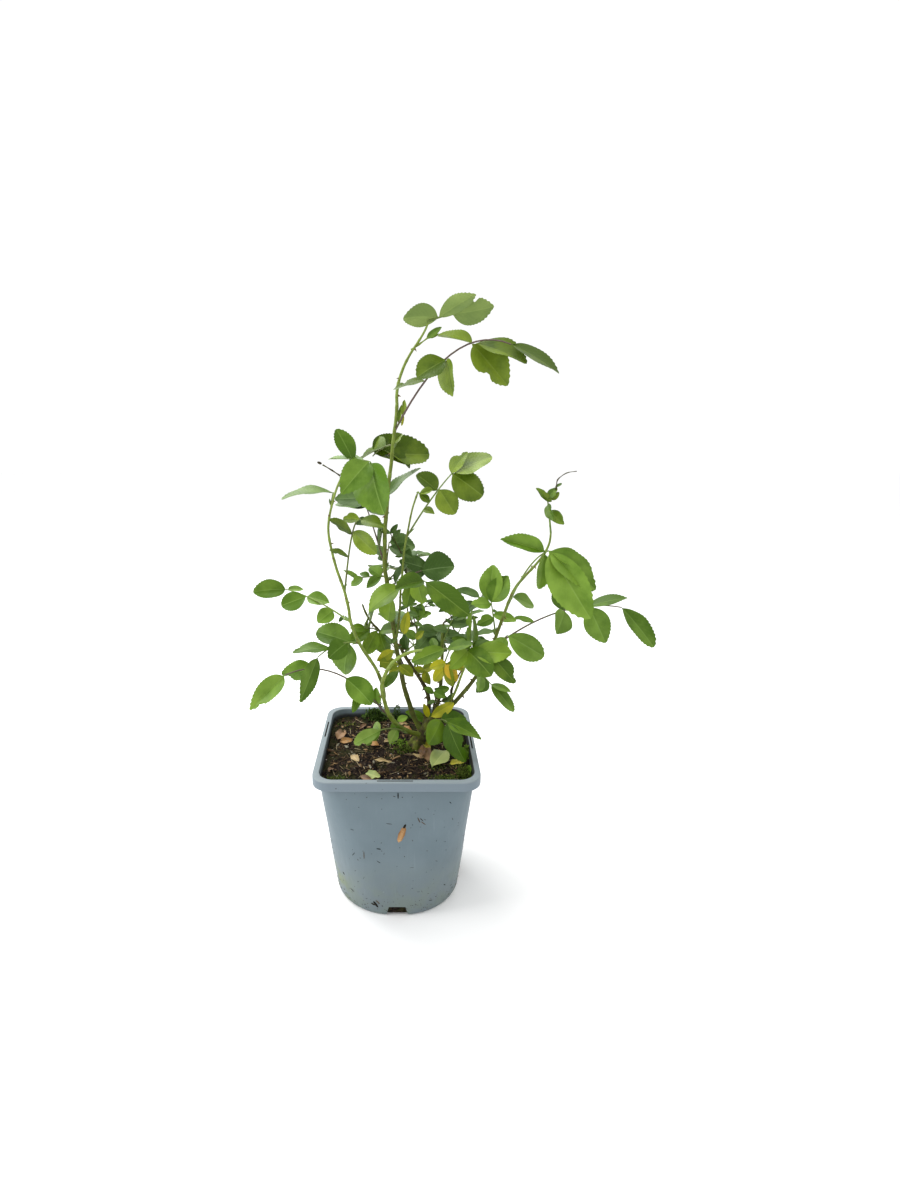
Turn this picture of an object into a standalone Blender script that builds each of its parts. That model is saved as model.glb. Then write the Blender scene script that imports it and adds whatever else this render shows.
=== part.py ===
"""A rose bush growing in a square plastic pot.

Every sub-part is one closed solid in metres, +Z up, with the origin at the
centre of the pot's flat underside.  The pot and its soil are lofted from
rounded squares, the stump and canes are tapering limbs along cubic curves,
and each mass of leaves is one stem with leaflets fused to it.
"""
import math
import random

import bmesh
import bpy
import numpy as np
from mathutils.bvhtree import BVHTree

MM = 0.001
GAP = 0.3 * MM               # clearance between solids that touch
UP = np.array([0.0, 0.0, 1.0])

# ---- driving dimensions of the pot, in mm -------------------------------------
POT_HEIGHT = 203.0
RIM_HALF = 100.0             # half of the rim's outer side
RIM_CORNER = 22.0
LIP_DEEP = 12.0              # height of the rim's outer lip
LIP_THICK = 1.6
LIP_EDGE = 1.0               # chamfer along the lip's upper edge
WALL = 1.8
BODY_HALF = 94.0             # half of the body's side just under the rim
BODY_CORNER = 20.0
BASE_HALF = 82.0             # the body narrows to an almost round base
BASE_CORNER = 76.0
BASE_EDGE = 4.0              # rounding where the wall meets the base
BASE_TURNS = (22.5, 45.0, 67.5, 90.0)            # angles of that rounding, in degrees
BODY_LEVELS = (45.0, 90.0, 135.0, 178.0)         # heights of the wall's rings
POT_CREASE = 35.0            # edges bent by more degrees than this stay sharp
FLOOR_THICK = 3.0
CORNER_STEPS = 5
DRAIN_COUNT = 4
DRAIN_WIDE = 28.0
DRAIN_HIGH = 7.5
DRAIN_SLOPE = 3.0            # how far each side of a drain slot leans in
DRAIN_DEEP = 12.0
SOIL_TOP = 188.0
SOIL_BUMP = 1.5
SOIL_RINGS = (0.7, 0.4)      # sizes of the surface's inner rings, as shares of its edge
SOIL_GAP = 0.5               # the compost has shrunk a little from the wall

# ---- driving dimensions of the plant, in mm -----------------------------------
CANE_SIDES = 7
CANE_STEPS = 8
FLARE = 1.5                  # how much wider the stump is at soil level
FLARE_LENGTH = 0.35          # share of the stump that flares
BARK_CREASE = 50.0           # edges bent by more degrees than this stay sharp
STEM_SIDES = 3
STEM_STEPS = 5
STEM_FOOT = 1.1
STEM_TIP = 0.7
LEAF_THICK = 1.2
LONG_LEAF = ((0.34, 0.96), (0.72, 0.84))         # stations: place along, share of the half width
SHORT_LEAF = ((0.50, 1.00),)
LEAF_FOLD = 14.0             # degrees that each half rises from the midrib
LEAF_CURL = 0.10             # drop of the tip as a share of the length
SHOOT_STEPS = 3
SHOOT_ARCH = 0.12            # how far a side shoot bows upwards, as a share of its length
PETIOLE = 1.5                # length of a compound leaf's stalk over its end leaflet's
LEAF_SPREAD = 62.0           # degrees between a side leaflet and its stalk
PAIR_PLACES = (0.78, 0.50)   # places of the two pairs of leaflets on the stalk
PAIR_SIZES = (0.95, 0.80)
WANDER = 12.0                # degrees of seeded variation
SEED = 11

# Shapes of leaflet: width as a share of the length.
ROUND, BROAD, OVAL, SLIM, NARROW = 0.92, 0.78, 0.66, 0.52, 0.40

# Limbs: parent, place on it, three more points of the cubic, foot and tip radius.
STUMP = ((26, 9, 188.3), (27, 9, 202), (38, 14, 210), (46, 20, 224))
STUMP_RADII = (9.0, 6.5)
CANES = {
    "cane_tall_low": ("stump", 0.6, (4, 26, 248), (-7, 20, 373), (-15, 20, 431), 3.4, 2.6),
    "cane_tall_mid": ("cane_tall_low", 1, (-16, 20, 496), (-4, 20, 566), (1, 20, 622), 2.6, 1.9),
    "cane_tall_top": ("cane_tall_mid", 1, (-1, 20, 667), (25, 20, 680), (36, 20, 709), 1.9, 1.1),
    "cane_arch_low": ("stump", 0.42, (-8, -18, 230), (-15, -30, 261), (-18, -36, 294), 3.0, 2.4),
    "cane_arch_out": ("cane_arch_low", 1, (-13, -46, 332), (9, -62, 353), (37, -80, 359), 2.4, 1.5),
    "cane_left_low": ("cane_arch_low", 0.86, (-17, -26, 321), (-56, -22, 342), (-56, -22, 386), 2.2, 1.9),
    "cane_left_top": ("cane_left_low", 1, (-69, -24, 457), (-96, -34, 479), (-52, -42, 558), 1.9, 1.1),
    "cane_dark": ("stump", 0.8, (57, 40, 257), (17, 50, 278), (5, 56, 309), 3.0, 2.2),
    "cane_back_left": ("cane_dark", 1, (-12, 62, 322), (-38, 70, 334), (-48, 76, 366), 2.2, 1.3),
    "cane_centre": ("stump", 1, (63, 28, 263), (56, 44, 298), (61, 54, 346), 2.8, 2.0),
    "cane_right_low": ("stump", 0.8, (71, 8, 250), (94, 4, 276), (106, 0, 306), 3.0, 2.3),
    "cane_right_mid": ("cane_right_low", 1, (121, -8, 336), (126, -14, 375), (135, -20, 402), 2.3, 1.8),
    "cane_right_top": ("cane_right_mid", 1, (143, -27, 435), (175, -38, 449), (172, -45, 485), 1.8, 1.2),
    "cane_mid_shoot": ("cane_tall_low", 0.6, (7, 8, 386), (2, 10, 456), (25, 12, 522), 1.6, 1.0),
    "cane_upright": ("cane_right_low", 0.2, (75, -4, 269), (81, -10, 302), (87, -14, 324), 1.9, 1.3),
}

# Masses of leaves: limb, place on it, tip of the stem, its rise at mid-length,
# and the leaflets: (place on the stem, heading, rise, length, width share,
# tilt of the upper face towards -Y), angles in degrees.
SPRAYS = {
    "top": ("cane_tall_top", 1.0, (62, 22, 717), 2, (
        (0.45, -155, 5, 41, OVAL, -60), (0.42, -35, 26, 53, NARROW, -50),
        (1.00, 10, 10, 48, OVAL, -60))),
    "upper_right": ("cane_tall_mid", 0.85, (119, -45, 680), 70, (
        (1.00, -17, -24, 58, SLIM, 30), (0.68, -13, -45, 57, BROAD, 55),
        (0.71, -30, -16, 61, SLIM, 35), (0.69, 171, 19, 39, BROAD, 30),
        (0.46, -158, -25, 39, BROAD, 50), (0.47, -87, -66, 42, BROAD, 65),
        (0.28, 180, -8, 38, SLIM, 25), (0.07, 93, 85, 18, NARROW, 10))),
    "whorl_back": ("cane_tall_mid", 0.74, (-29, 45, 562), 6, (
        (0.24, 140, -15, 46, BROAD, 35), (0.54, -5, -25, 42, OVAL, 30),
        (0.88, -5, 0, 69, OVAL, 35), (0.92, 15, 42, 38, BROAD, 60),
        (0.06, 1, 33, 22, BROAD, 45))),
    "whorl_front": ("cane_left_top", 1.0, (-26, -62, 563), 6, (
        (1.00, -75, -60, 57, ROUND, 55), (0.93, -130, -31, 48, OVAL, 35),
        (0.76, 150, 5, 48, NARROW, 10), (0.27, 178, 67, 39, SLIM, 60))),
    "back_high": ("cane_tall_mid", 0.42, (-31, 55, 511), 4, (
        (0.10, 10, 45, 56, NARROW, 30), (1.00, -179, -1, 48, OVAL, 40),
        (0.80, 171, 39, 29, BROAD, 50), (0.60, -19, -58, 22, OVAL, 40))),
    "left_long": ("cane_left_top", 0.78, (-71, -20, 526), 2, (
        (1.00, -155, 10, 58, SLIM, 15),)),
    "dark_upper": ("cane_tall_mid", 0.03, (-38, 50, 499), 4, (
        (1.00, -175, 10, 42, OVAL, 30), (0.95, 0, -5, 28, OVAL, 25),
        (0.69, -120, 5, 30, OVAL, 30), (1.00, 170, 40, 23, SLIM, 20),
        (0.20, -26, 86, 34, BROAD, 50))),
    "left_inner": ("cane_left_top", 0.14, (-38, -50, 500), 50, (
        (0.50, -167, 44, 31, OVAL, 25), (0.55, -49, -25, 42, SLIM, 50),
        (0.95, -177, 11, 19, BROAD, 30), (1.00, -31, -4, 30, OVAL, 35),
        (0.25, 177, 35, 24, SLIM, 20))),
    "mid_left_small": ("cane_tall_low", 0.93, (-50, 42, 410), 2, (
        (1.00, 177, 34, 22, NARROW, 30), (0.80, -161, -29, 19, BROAD, 40),
        (0.55, 160, 17, 15, OVAL, 40), (0.10, 152, 31, 21, BROAD, 45),
        (0.10, -158, -29, 24, OVAL, 40))),
    "dark_mid": ("cane_tall_low", 0.98, (-10, 46, 456), 2, (
        (1.00, 9, -5, 35, BROAD, 45), (0.80, -29, -10, 34, OVAL, 35),
        (0.51, 180, 20, 32, OVAL, 35), (0.30, 158, 14, 14, OVAL, 40))),
    "shoot_leaf": ("cane_mid_shoot", 0.75, (67, 28, 544), 8, (
        (0.66, 175, 40, 32, BROAD, 50), (0.69, -31, -52, 36, BROAD, 55),
        (0.97, -1, 62, 32, OVAL, 45), (1.00, -6, 26, 50, BROAD, 40),
        (0.98, -12, -31, 46, BROAD, 55), (0.36, -50, -5, 17, OVAL, 40))),
    "shoot_tip": ("cane_mid_shoot", 1.0, (27, 6, 521), 2, (
        (1.00, -20, 20, 17, OVAL, 40), (1.00, -25, -30, 16, OVAL, 40))),
    "dark_pair": ("cane_tall_low", 0.86, (41, 62, 417), 8, (
        (1.00, -165, 22, 42, BROAD, 60), (0.80, -19, 15, 43, ROUND, 60),
        (0.47, -100, 50, 25, OVAL, 45), (0.12, -43, 61, 32, BROAD, 50))),
    "bright_centre": ("cane_tall_low", 0.8, (32, -60, 433), 20, (
        (1.00, -145, 5, 38, OVAL, 45), (1.00, -35, -24, 61, SLIM, 45),
        (0.34, -170, -30, 50, OVAL, 45), (0.66, -115, -70, 32, OVAL, 45),
        (0.05, -173, -78, 34, BROAD, 50), (0.80, -65, -76, 29, BROAD, 55))),
    "upright_right": ("cane_right_mid", 0.45, (118, 20, 384), 4, (
        (1.00, 100, 75, 48, OVAL, 10), (1.00, 13, 62, 40, BROAD, 55),
        (0.97, -151, 11, 28, OVAL, 40), (0.60, -19, -10, 30, SLIM, 35),
        (0.50, -151, -9, 24, OVAL, 45), (0.70, 34, -13, 10, OVAL, 40))),
    "narrow_back": ("cane_centre", 1.0, (111, 80, 373), 2, (
        (1.00, 170, 20, 36, SLIM, 20), (0.85, -130, -15, 32, SLIM, 25),
        (1.00, -15, 30, 30, SLIM, 30))),
    "right_tip": ("cane_right_top", 1.0, (166, -45, 523), 2, (
        (0.59, -60, -20, 26, SLIM, 45), (0.81, -90, -35, 25, SLIM, 60),
        (0.95, -170, 45, 19, SLIM, 50), (0.97, 0, 60, 16, OVAL, 50))),
    "glossy_right": ("cane_right_mid", 0.93, (165, -72, 470), 24, (
        (0.93, 173, 19, 51, SLIM, 50), (1.00, -40, -50, 85, SLIM, 50),
        (1.00, -24, -31, 65, SLIM, 40), (0.90, -112, -74, 40, OVAL, 60),
        (1.00, 2, -24, 60, SLIM, 40), (0.08, 41, -24, 41, SLIM, 45))),
    "right_long": ("cane_right_mid", 0.3, (285, 30, 375), 40, (
        (0.31, 174, 14, 26, NARROW, 30), (0.54, 135, 60, 30, OVAL, 30),
        (0.54, -116, -38, 35, ROUND, 55), (0.73, -48, -53, 50, OVAL, 55),
        (0.73, -15, 25, 48, SLIM, 25), (1.00, -41, -38, 63, NARROW, 35))),
    "right_low_leaf": ("cane_right_mid", 0.22, (130, -40, 362), 2, (
        (1.00, -20, -22, 49, OVAL, 50), (0.90, -130, -35, 26, OVAL, 35))),
    "left_high": ("cane_left_low", 0.9, (-142, 40, 396), 10, (
        (1.00, -147, 10, 42, OVAL, 50), (0.97, 35, -2, 23, SLIM, 25),
        (0.66, -161, -14, 33, BROAD, 45), (0.66, -19, -7, 32, OVAL, 40),
        (0.24, -130, -16, 26, BROAD, 50))),
    "left_mid": ("cane_left_low", 0.66, (-92, -48, 338), 14, (
        (1.00, -120, -47, 55, NARROW, 45), (0.68, -149, 11, 45, SLIM, 20),
        (0.16, 168, 19, 46, OVAL, 35), (0.27, -128, -12, 31, BROAD, 50),
        (0.20, -175, -73, 43, ROUND, 65))),
    "left_low": ("cane_arch_low", 0.55, (-129, -62, 321), 58, (
        (1.00, -142, -33, 55, SLIM, 40), (0.72, -159, -1, 39, OVAL, 35),
        (0.10, 111, 73, 22, OVAL, 30), (0.42, -32, -27, 45, OVAL, 50),
        (0.25, -117, -34, 30, NARROW, 30), (0.20, 77, 50, 14, BROAD, 40))),
    "arch_tip": ("cane_arch_out", 1.0, (102, -105, 363), 8, (
        (1.00, -30, -40, 40, SLIM, 45), (0.73, -26, 3, 42, OVAL, 40),
        (0.61, -50, -20, 42, BROAD, 55), (0.29, -40, 25, 36, SLIM, 30),
        (0.27, -168, -14, 40, SLIM, 35), (0.12, 115, 50, 15, OVAL, 50),
        (0.64, -140, -25, 30, OVAL, 40))),
    "centre_left": ("cane_back_left", 0.5, (-41, 35, 345), 4, (
        (1.00, -153, 17, 21, OVAL, 45), (0.92, -80, 65, 32, OVAL, 60),
        (0.64, -145, -20, 34, OVAL, 45), (0.19, -140, -55, 36, OVAL, 55),
        (0.00, -35, 20, 32, OVAL, 40), (0.00, -59, -63, 33, BROAD, 50),
        (0.70, -65, 74, 29, BROAD, 50))),
    "twig_left": ("cane_dark", 0.7, (27, 50, 356), 2, (
        (1.00, -163, 56, 19, SLIM, 50), (1.00, -17, 23, 19, SLIM, 50),
        (0.90, 31, 83, 25, OVAL, 50), (0.55, 172, 38, 20, OVAL, 50))),
    "centre_back": ("cane_dark", 0.94, (54, 70, 327), 6, (
        (1.00, -171, 15, 29, BROAD, 50), (1.00, -50, -5, 36, OVAL, 50),
        (0.71, -130, -10, 36, OVAL, 50), (0.58, -15, -25, 36, OVAL, 45),
        (0.05, 109, 65, 25, BROAD, 50))),
    "upright_centre": ("cane_upright", 1.0, (92, -18, 338), 2, (
        (0.78, 100, 70, 49, NARROW, 85), (0.92, 55, 60, 42, NARROW, 80),
        (0.68, -160, 40, 30, OVAL, 40), (0.68, -30, 30, 32, OVAL, 40))),
    "right_low": ("cane_right_low", 0.9, (123, 30, 269), 2, (
        (1.00, -30, -5, 28, NARROW, 20), (1.00, -35, -36, 46, NARROW, 30),
        (0.49, -122, -39, 24, ROUND, 60), (0.10, -127, -51, 24, BROAD, 55))),
    "yellow_inner": ("cane_centre", 0.45, (62, 0, 311), 2, (
        (1.00, -60, -60, 30, SLIM, 60), (1.00, -10, -15, 25, SLIM, 40),
        (1.00, -176, -6, 22, OVAL, 50), (0.64, -167, -40, 22, OVAL, 45),
        (0.30, -19, -13, 17, OVAL, 50))),
    "low_front": ("stump", 0.55, (62, -30, 245), 20, (
        (0.73, -115, -35, 36, ROUND, 55), (1.00, -19, -13, 47, SLIM, 35),
        (1.00, -60, -50, 53, SLIM, 45), (0.71, 10, 5, 34, OVAL, 30))),
    "inner_left": ("cane_tall_low", 0.4, (2, -8, 312), 4, (
        (1.00, -161, 22, 25, OVAL, 45), (0.90, -20, -30, 23, OVAL, 50),
        (0.50, 175, -40, 19, OVAL, 50))),
    "inner_right": ("cane_centre", 0.16, (46, -8, 275), 2, (
        (1.00, -32, -6, 17, OVAL, 50), (0.90, -166, 36, 15, OVAL, 50),
        (0.80, 7, 27, 21, SLIM, 50))),
    "twig_right": ("cane_centre", 0.85, (72, 50, 352), 2, (
        (1.00, 11, 28, 24, OVAL, 60), (0.40, 179, 20, 21, OVAL, 50),
        (0.70, -12, 14, 30, OVAL, 50), (0.20, -11, 10, 19, OVAL, 50))),
    "dark_inner": ("cane_dark", 0.62, (35, 28, 289), 2, (
        (1.00, -151, 22, 15, OVAL, 50), (1.00, -48, -58, 20, OVAL, 50),
        (0.60, -17, 35, 22, OVAL, 50))),
    "low_back": ("stump", 0.75, (41, 40, 209), 4, (
        (1.00, 165, 25, 34, SLIM, 45), (0.92, 85, 65, 19, SLIM, 40),
        (0.95, 15, 35, 28, SLIM, 40))),
    "low_left": ("cane_arch_low", 0.16, (-20, -44, 241), 8, (
        (1.00, -160, -20, 36, SLIM, 40), (1.00, -155, -35, 25, OVAL, 40),
        (1.00, 120, 10, 19, OVAL, 35), (0.37, -140, -50, 21, OVAL, 35),
        (0.27, 105, 20, 23, OVAL, 35))),
}

# Side shoots that fill the bush all round: limb, place on it, heading, rise,
# length, number of compound leaves, length of their end leaflets.
SHOOTS = {
    "back_tall": ("cane_tall_low", 0.9, 60, 10, 45, 2, 24),
    "back_dark": ("cane_dark", 0.6, 100, 35, 60, 3, 28),
    "back_centre": ("cane_centre", 0.55, 65, 30, 60, 3, 29),
}

COLOURS = {
    "pot": ((0.206, 0.262, 0.296), 0.55),
    "soil": ((0.020, 0.012, 0.008), 0.95),
    "stump": ((0.110, 0.070, 0.040), 0.85),
    "cane": ((0.130, 0.200, 0.050), 0.60),
    "leaves": ((0.070, 0.190, 0.020), 0.50),
}


# ---- small helpers ------------------------------------------------------------
def clear_scene():
    for item in list(bpy.data.objects):
        bpy.data.objects.remove(item, do_unlink=True)


def make_material(kind):
    colour, rough = COLOURS[kind]
    material = bpy.data.materials.new(kind)
    material.use_nodes = True
    shader = material.node_tree.nodes["Principled BSDF"]
    shader.inputs["Base Color"].default_value = (*colour, 1.0)
    shader.inputs["Roughness"].default_value = rough
    shader.inputs["Metallic"].default_value = 0.0
    return material


def add_object(name, points, faces, material, smooth=False):
    mesh = bpy.data.meshes.new(name)
    mesh.from_pydata([tuple(point) for point in points], [], [tuple(face) for face in faces])
    mesh.validate()
    if smooth:
        mesh.shade_smooth()
    mesh.materials.append(material)
    item = bpy.data.objects.new(name, mesh)
    bpy.context.scene.collection.objects.link(item)
    return item


def unit(vector):
    return vector / np.linalg.norm(vector)


def direction(heading, rise):
    """Unit vector; heading anticlockwise from +X seen from above, rise above level."""
    turn, lift = math.radians(heading), math.radians(rise)
    flat = math.cos(lift)
    return np.array([math.cos(turn) * flat, math.sin(turn) * flat, math.sin(lift)])


def turned(vector, axis, degrees):
    angle = math.radians(degrees)
    cross = np.cross(axis, vector)
    along = axis * np.dot(axis, vector)
    return vector * math.cos(angle) + cross * math.sin(angle) + along * (1 - math.cos(angle))


# ---- rounded squares: the pot and its soil --------------------------------------
def rounded_square(half, corner):
    """Points of a square with round corners, anticlockwise, as (x, y) in mm."""
    points = []
    for quarter in range(4):
        start = quarter * math.pi / 2
        centre = (half - corner) * math.sqrt(2) * np.array(
            [math.cos(start + math.pi / 4), math.sin(start + math.pi / 4)])
        for step in range(CORNER_STEPS + 1):
            angle = start + step / CORNER_STEPS * math.pi / 2
            points.append(centre + corner * np.array([math.cos(angle), math.sin(angle)]))
    return np.array(points)


def loft(levels):
    """Closed solid through (half, corner, height) levels, with a fan at each end."""
    count = 4 * (CORNER_STEPS + 1)
    points = []
    for half, corner, height in levels:
        for x, y in rounded_square(half, corner):
            points.append((x * MM, y * MM, height * MM))
    faces = []
    for level in range(len(levels) - 1):
        low, high = level * count, (level + 1) * count
        for place in range(count):
            after = (place + 1) % count
            faces.append((low + place, low + after, high + after, high + place))
    for level, flip in ((0, True), (len(levels) - 1, False)):
        points.append((0.0, 0.0, levels[level][2] * MM))
        ring = range(level * count, (level + 1) * count)
        for place in range(count):
            edge = (ring[place], ring[(place + 1) % count])
            faces.append((len(points) - 1, *(reversed(edge) if flip else edge)))
    return points, faces


def body_section(height, inset):
    """Half side and corner radius of the tapering body at a height, moved inwards."""
    share = height / POT_HEIGHT
    half = BASE_HALF + (BODY_HALF - BASE_HALF) * share
    corner = BASE_CORNER + (BODY_CORNER - BASE_CORNER) * share
    return half - inset, corner - inset, height


def make_pot(material):
    under_lip = POT_HEIGHT - LIP_DEEP
    shelf = POT_HEIGHT - 2 * LIP_THICK
    lip_inside = (RIM_HALF - LIP_THICK, RIM_CORNER - LIP_THICK)
    levels = [body_section(0.0, BASE_EDGE)]
    for angle in BASE_TURNS:
        turn = math.radians(angle)
        inset = BASE_EDGE * (1 - math.sin(turn))
        levels.append(body_section(BASE_EDGE * (1 - math.cos(turn)), inset))
    levels += [body_section(height, 0.0) for height in (*BODY_LEVELS, shelf)]
    levels.append((*lip_inside, shelf))
    levels.append((*lip_inside, under_lip))
    levels.append((RIM_HALF, RIM_CORNER, under_lip))
    levels.append((RIM_HALF, RIM_CORNER, POT_HEIGHT - LIP_EDGE))
    levels.append((RIM_HALF - LIP_EDGE, RIM_CORNER - LIP_EDGE, POT_HEIGHT))
    levels.append(body_section(POT_HEIGHT, WALL))
    levels += [body_section(height, WALL) for height in (SOIL_TOP, *reversed(BODY_LEVELS))]
    levels.append(body_section(FLOOR_THICK + BASE_EDGE, WALL))
    levels.append(body_section(FLOOR_THICK, WALL + BASE_EDGE))
    pot = add_object("pot", *loft(levels), material, smooth=True)
    pot.data.set_sharp_from_angle(angle=math.radians(POT_CREASE))
    for number in range(DRAIN_COUNT):
        cut_drain(pot, number)
    return pot


def cut_drain(pot, number):
    """A slot through the foot of the wall, narrower at its top."""
    turn = number * 2 * math.pi / DRAIN_COUNT
    wide, top = DRAIN_WIDE / 2, DRAIN_WIDE / 2 - DRAIN_SLOPE
    outline = ((-wide - DRAIN_SLOPE, -DRAIN_HIGH), (wide + DRAIN_SLOPE, -DRAIN_HIGH),
               (top, DRAIN_HIGH), (-top, DRAIN_HIGH))
    points = []
    for reach in (BASE_HALF - DRAIN_DEEP, BASE_HALF + DRAIN_DEEP):
        for across, height in outline:
            x = across * math.cos(turn) - reach * math.sin(turn)
            y = across * math.sin(turn) + reach * math.cos(turn)
            points.append((x * MM, y * MM, height * MM))
    faces = ((0, 1, 2, 3), (7, 6, 5, 4), (0, 4, 5, 1), (1, 5, 6, 2), (2, 6, 7, 3), (3, 7, 4, 0))
    cutter = add_object(f"drain_cutter_{number}", points, faces, pot.data.materials[0])
    cutter.hide_render = True
    cutter.display_type = "WIRE"
    cut = pot.modifiers.new(f"drain_{number}", "BOOLEAN")
    cut.operation = "DIFFERENCE"
    cut.object = cutter


def make_soil(material):
    """The root ball and compost, filling the pot to a little under its rim."""
    inset = WALL + SOIL_GAP
    bottom = FLOOR_THICK + GAP / MM
    levels = [body_section(bottom, inset + BASE_EDGE)]
    levels += [body_section(bottom + BASE_EDGE, inset)]
    levels += [body_section(height, inset) for height in (*BODY_LEVELS, SOIL_TOP)]
    edge = len(levels) - 1
    half, corner, height = levels[edge]
    levels += [(half * share, corner * share, height) for share in SOIL_RINGS]
    points, faces = loft(levels)
    rng = random.Random(SEED)
    count = 4 * (CORNER_STEPS + 1)
    for place in range(edge * count, len(levels) * count):
        x, y, z = points[place]
        points[place] = (x, y, z - rng.uniform(0.0, SOIL_BUMP) * MM)
    return add_object("soil", points, faces, material)


# ---- limbs ----------------------------------------------------------------------
def cubic(points, share):
    """Point on a cubic curve in metres from four points in mm."""
    first, second, third, last = [np.array(point, float) * MM for point in points]
    rest = 1 - share
    return (rest ** 3 * first + 3 * rest ** 2 * share * second
            + 3 * rest * share ** 2 * third + share ** 3 * last)


def parallel_frames(path, first_normal):
    """Two unit vectors across the path at each point, carried without twist."""
    tangents = np.gradient(path, axis=0)
    tangents /= np.linalg.norm(tangents, axis=1)[:, None]
    tangents[0] = first_normal
    side = np.cross(tangents[0], [0.3, 0.9, 0.2])
    frames = []
    for tangent in tangents:
        side = unit(side - tangent * np.dot(side, tangent))
        frames.append((side, np.cross(tangent, side)))
    return frames


def tube(path, radii, sides, first_normal):
    """Closed tapering solid along a path, with flat ends."""
    points = []
    for centre, radius, (side, other) in zip(path, radii, parallel_frames(path, first_normal)):
        for place in range(sides):
            angle = 2 * math.pi * place / sides
            points.append(centre + radius * (math.cos(angle) * side + math.sin(angle) * other))
    faces = []
    for level in range(len(path) - 1):
        low, high = level * sides, (level + 1) * sides
        for place in range(sides):
            after = (place + 1) % sides
            faces.append((low + place, low + after, high + after, high + place))
    faces.append(tuple(reversed(range(sides))))
    faces.append(tuple(range((len(path) - 1) * sides, len(path) * sides)))
    return points, faces


class Limb:
    """A stump or cane: its cubic curve and its radius along it."""

    def __init__(self, points, foot_radius, tip_radius):
        self.points = points
        self.foot_radius = foot_radius * MM
        self.tip_radius = tip_radius * MM

    def at(self, share):
        return cubic(self.points, share)

    def heading(self, share):
        return unit(self.at(min(share + 0.02, 1.0)) - self.at(max(share - 0.02, 0.0)))

    def radius(self, share):
        return self.foot_radius + (self.tip_radius - self.foot_radius) * share

    def seat(self, share, target):
        """Where a branch starts just clear of this limb, and its first normal."""
        centre, axis = self.at(share), self.heading(share)
        if share >= 1:
            return centre + axis * GAP, axis
        out = target - centre
        out = unit(out - axis * np.dot(out, axis))
        return centre + out * (self.radius(share) + GAP), out


def make_stump(material):
    limb = Limb(STUMP, *STUMP_RADII)
    shares = np.linspace(0, 1, CANE_STEPS)
    path = np.array([limb.at(share) for share in shares])
    flare = 1 + (FLARE - 1) * np.clip(1 - shares / FLARE_LENGTH, 0, 1) ** 2
    radii = [limb.radius(share) * wide for share, wide in zip(shares, flare)]
    points, faces = tube(path, radii, CANE_SIDES, UP)
    item = add_object("stump", points, faces, material, smooth=True)
    item.data.set_sharp_from_angle(angle=math.radians(BARK_CREASE))
    return limb, item


def make_canes(stump, material):
    limbs, items = {"stump": stump}, []
    for name, (parent, share, second, third, last, foot, tip) in CANES.items():
        start, normal = limbs[parent].seat(share, np.array(second) * MM)
        limb = Limb((start / MM, second, third, last), foot, tip)
        limbs[name] = limb
        shares = np.linspace(0, 1, CANE_STEPS)
        path = np.array([limb.at(place) for place in shares])
        radii = [limb.radius(place) for place in shares]
        points, faces = tube(path, radii, CANE_SIDES, normal)
        item = add_object(name, points, faces, material, smooth=True)
        item.data.set_sharp_from_angle(angle=math.radians(BARK_CREASE))
        items.append(item)
    return limbs, items


# ---- leaves ---------------------------------------------------------------------
def leaflet_solid(base, along, normal, length, wide, stations):
    """Closed leaflet of a few faces: two folded halves that curl down to the tip."""
    across = np.cross(normal, along)
    fold = math.radians(LEAF_FOLD)
    points = [base]
    for share, fullness in stations:
        half = 0.5 * length * wide * fullness
        rib = base + along * length * share - normal * LEAF_CURL * length * share ** 2
        edge = across * half * math.cos(fold)
        lift = normal * half * math.sin(fold)
        thick = normal * 0.5 * LEAF_THICK * MM
        points += [rib - edge + lift, rib - thick, rib + edge + lift, rib + thick]
    points.append(base + along * length - normal * LEAF_CURL * length)
    faces = []
    last = len(points) - 5
    for place in range(4):
        after = (place + 1) % 4
        faces.append((0, 1 + after, 1 + place))
        for ring in range(1, last, 4):
            faces.append((ring + place, ring + after, ring + 4 + after, ring + 4 + place))
        faces.append((last + place, last + after, last + 4))
    return points, faces


def blade_normal(along, tilt):
    """Upper normal of a leaflet, leaned towards -Y by the tilt."""
    level = unit(UP - along * np.dot(UP, along))
    front = 1 if np.cross(along, level)[1] < 0 else -1
    return turned(level, along, front * tilt)


def tree_of(points, faces):
    return BVHTree.FromPolygons([tuple(point) for point in points], [tuple(face) for face in faces])


def tree_of_object(item):
    points = [item.matrix_world @ vertex.co for vertex in item.data.vertices]
    return BVHTree.FromPolygons(points, [tuple(face.vertices) for face in item.data.polygons])


SWINGS = ((0, 0), (15, 0), (-15, 0), (0, 15), (0, -15), (30, 10), (-30, 10), (30, -15), (-30, -15))


def grow_leaflets(stem, plan, taken, stations):
    """Leaflets of one mass that touch nothing else; each may swing aside a little."""
    kept = []
    for share, heading, rise, length, wide, tilt in plan:
        root = point_on(stem, share)
        for swing, lift in SWINGS:
            along = direction(heading + swing, rise + lift)
            base = root - along * 0.5 * STEM_TIP * MM
            normal = blade_normal(along, tilt)
            solid = leaflet_solid(base, along, normal, length * MM, wide, stations)
            if not any(tree_of(*solid).overlap(other) for other in taken):
                kept.append(solid)
                break
    return kept


def drop_scraps(mesh):
    """Keep the largest connected shell, so no sealed hollow or loose scrap stays."""
    work = bmesh.new()
    work.from_mesh(mesh)
    unseen, shells = set(work.verts), []
    while unseen:
        shell, front = set(), [unseen.pop()]
        while front:
            vertex = front.pop()
            shell.add(vertex)
            near = {edge.other_vert(vertex) for edge in vertex.link_edges} & unseen
            unseen -= near
            front += near
        shells.append(shell)
    shells.sort(key=len)
    for shell in shells[:-1]:
        bmesh.ops.delete(work, geom=list(shell), context="VERTS")
    work.to_mesh(mesh)
    work.free()


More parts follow.
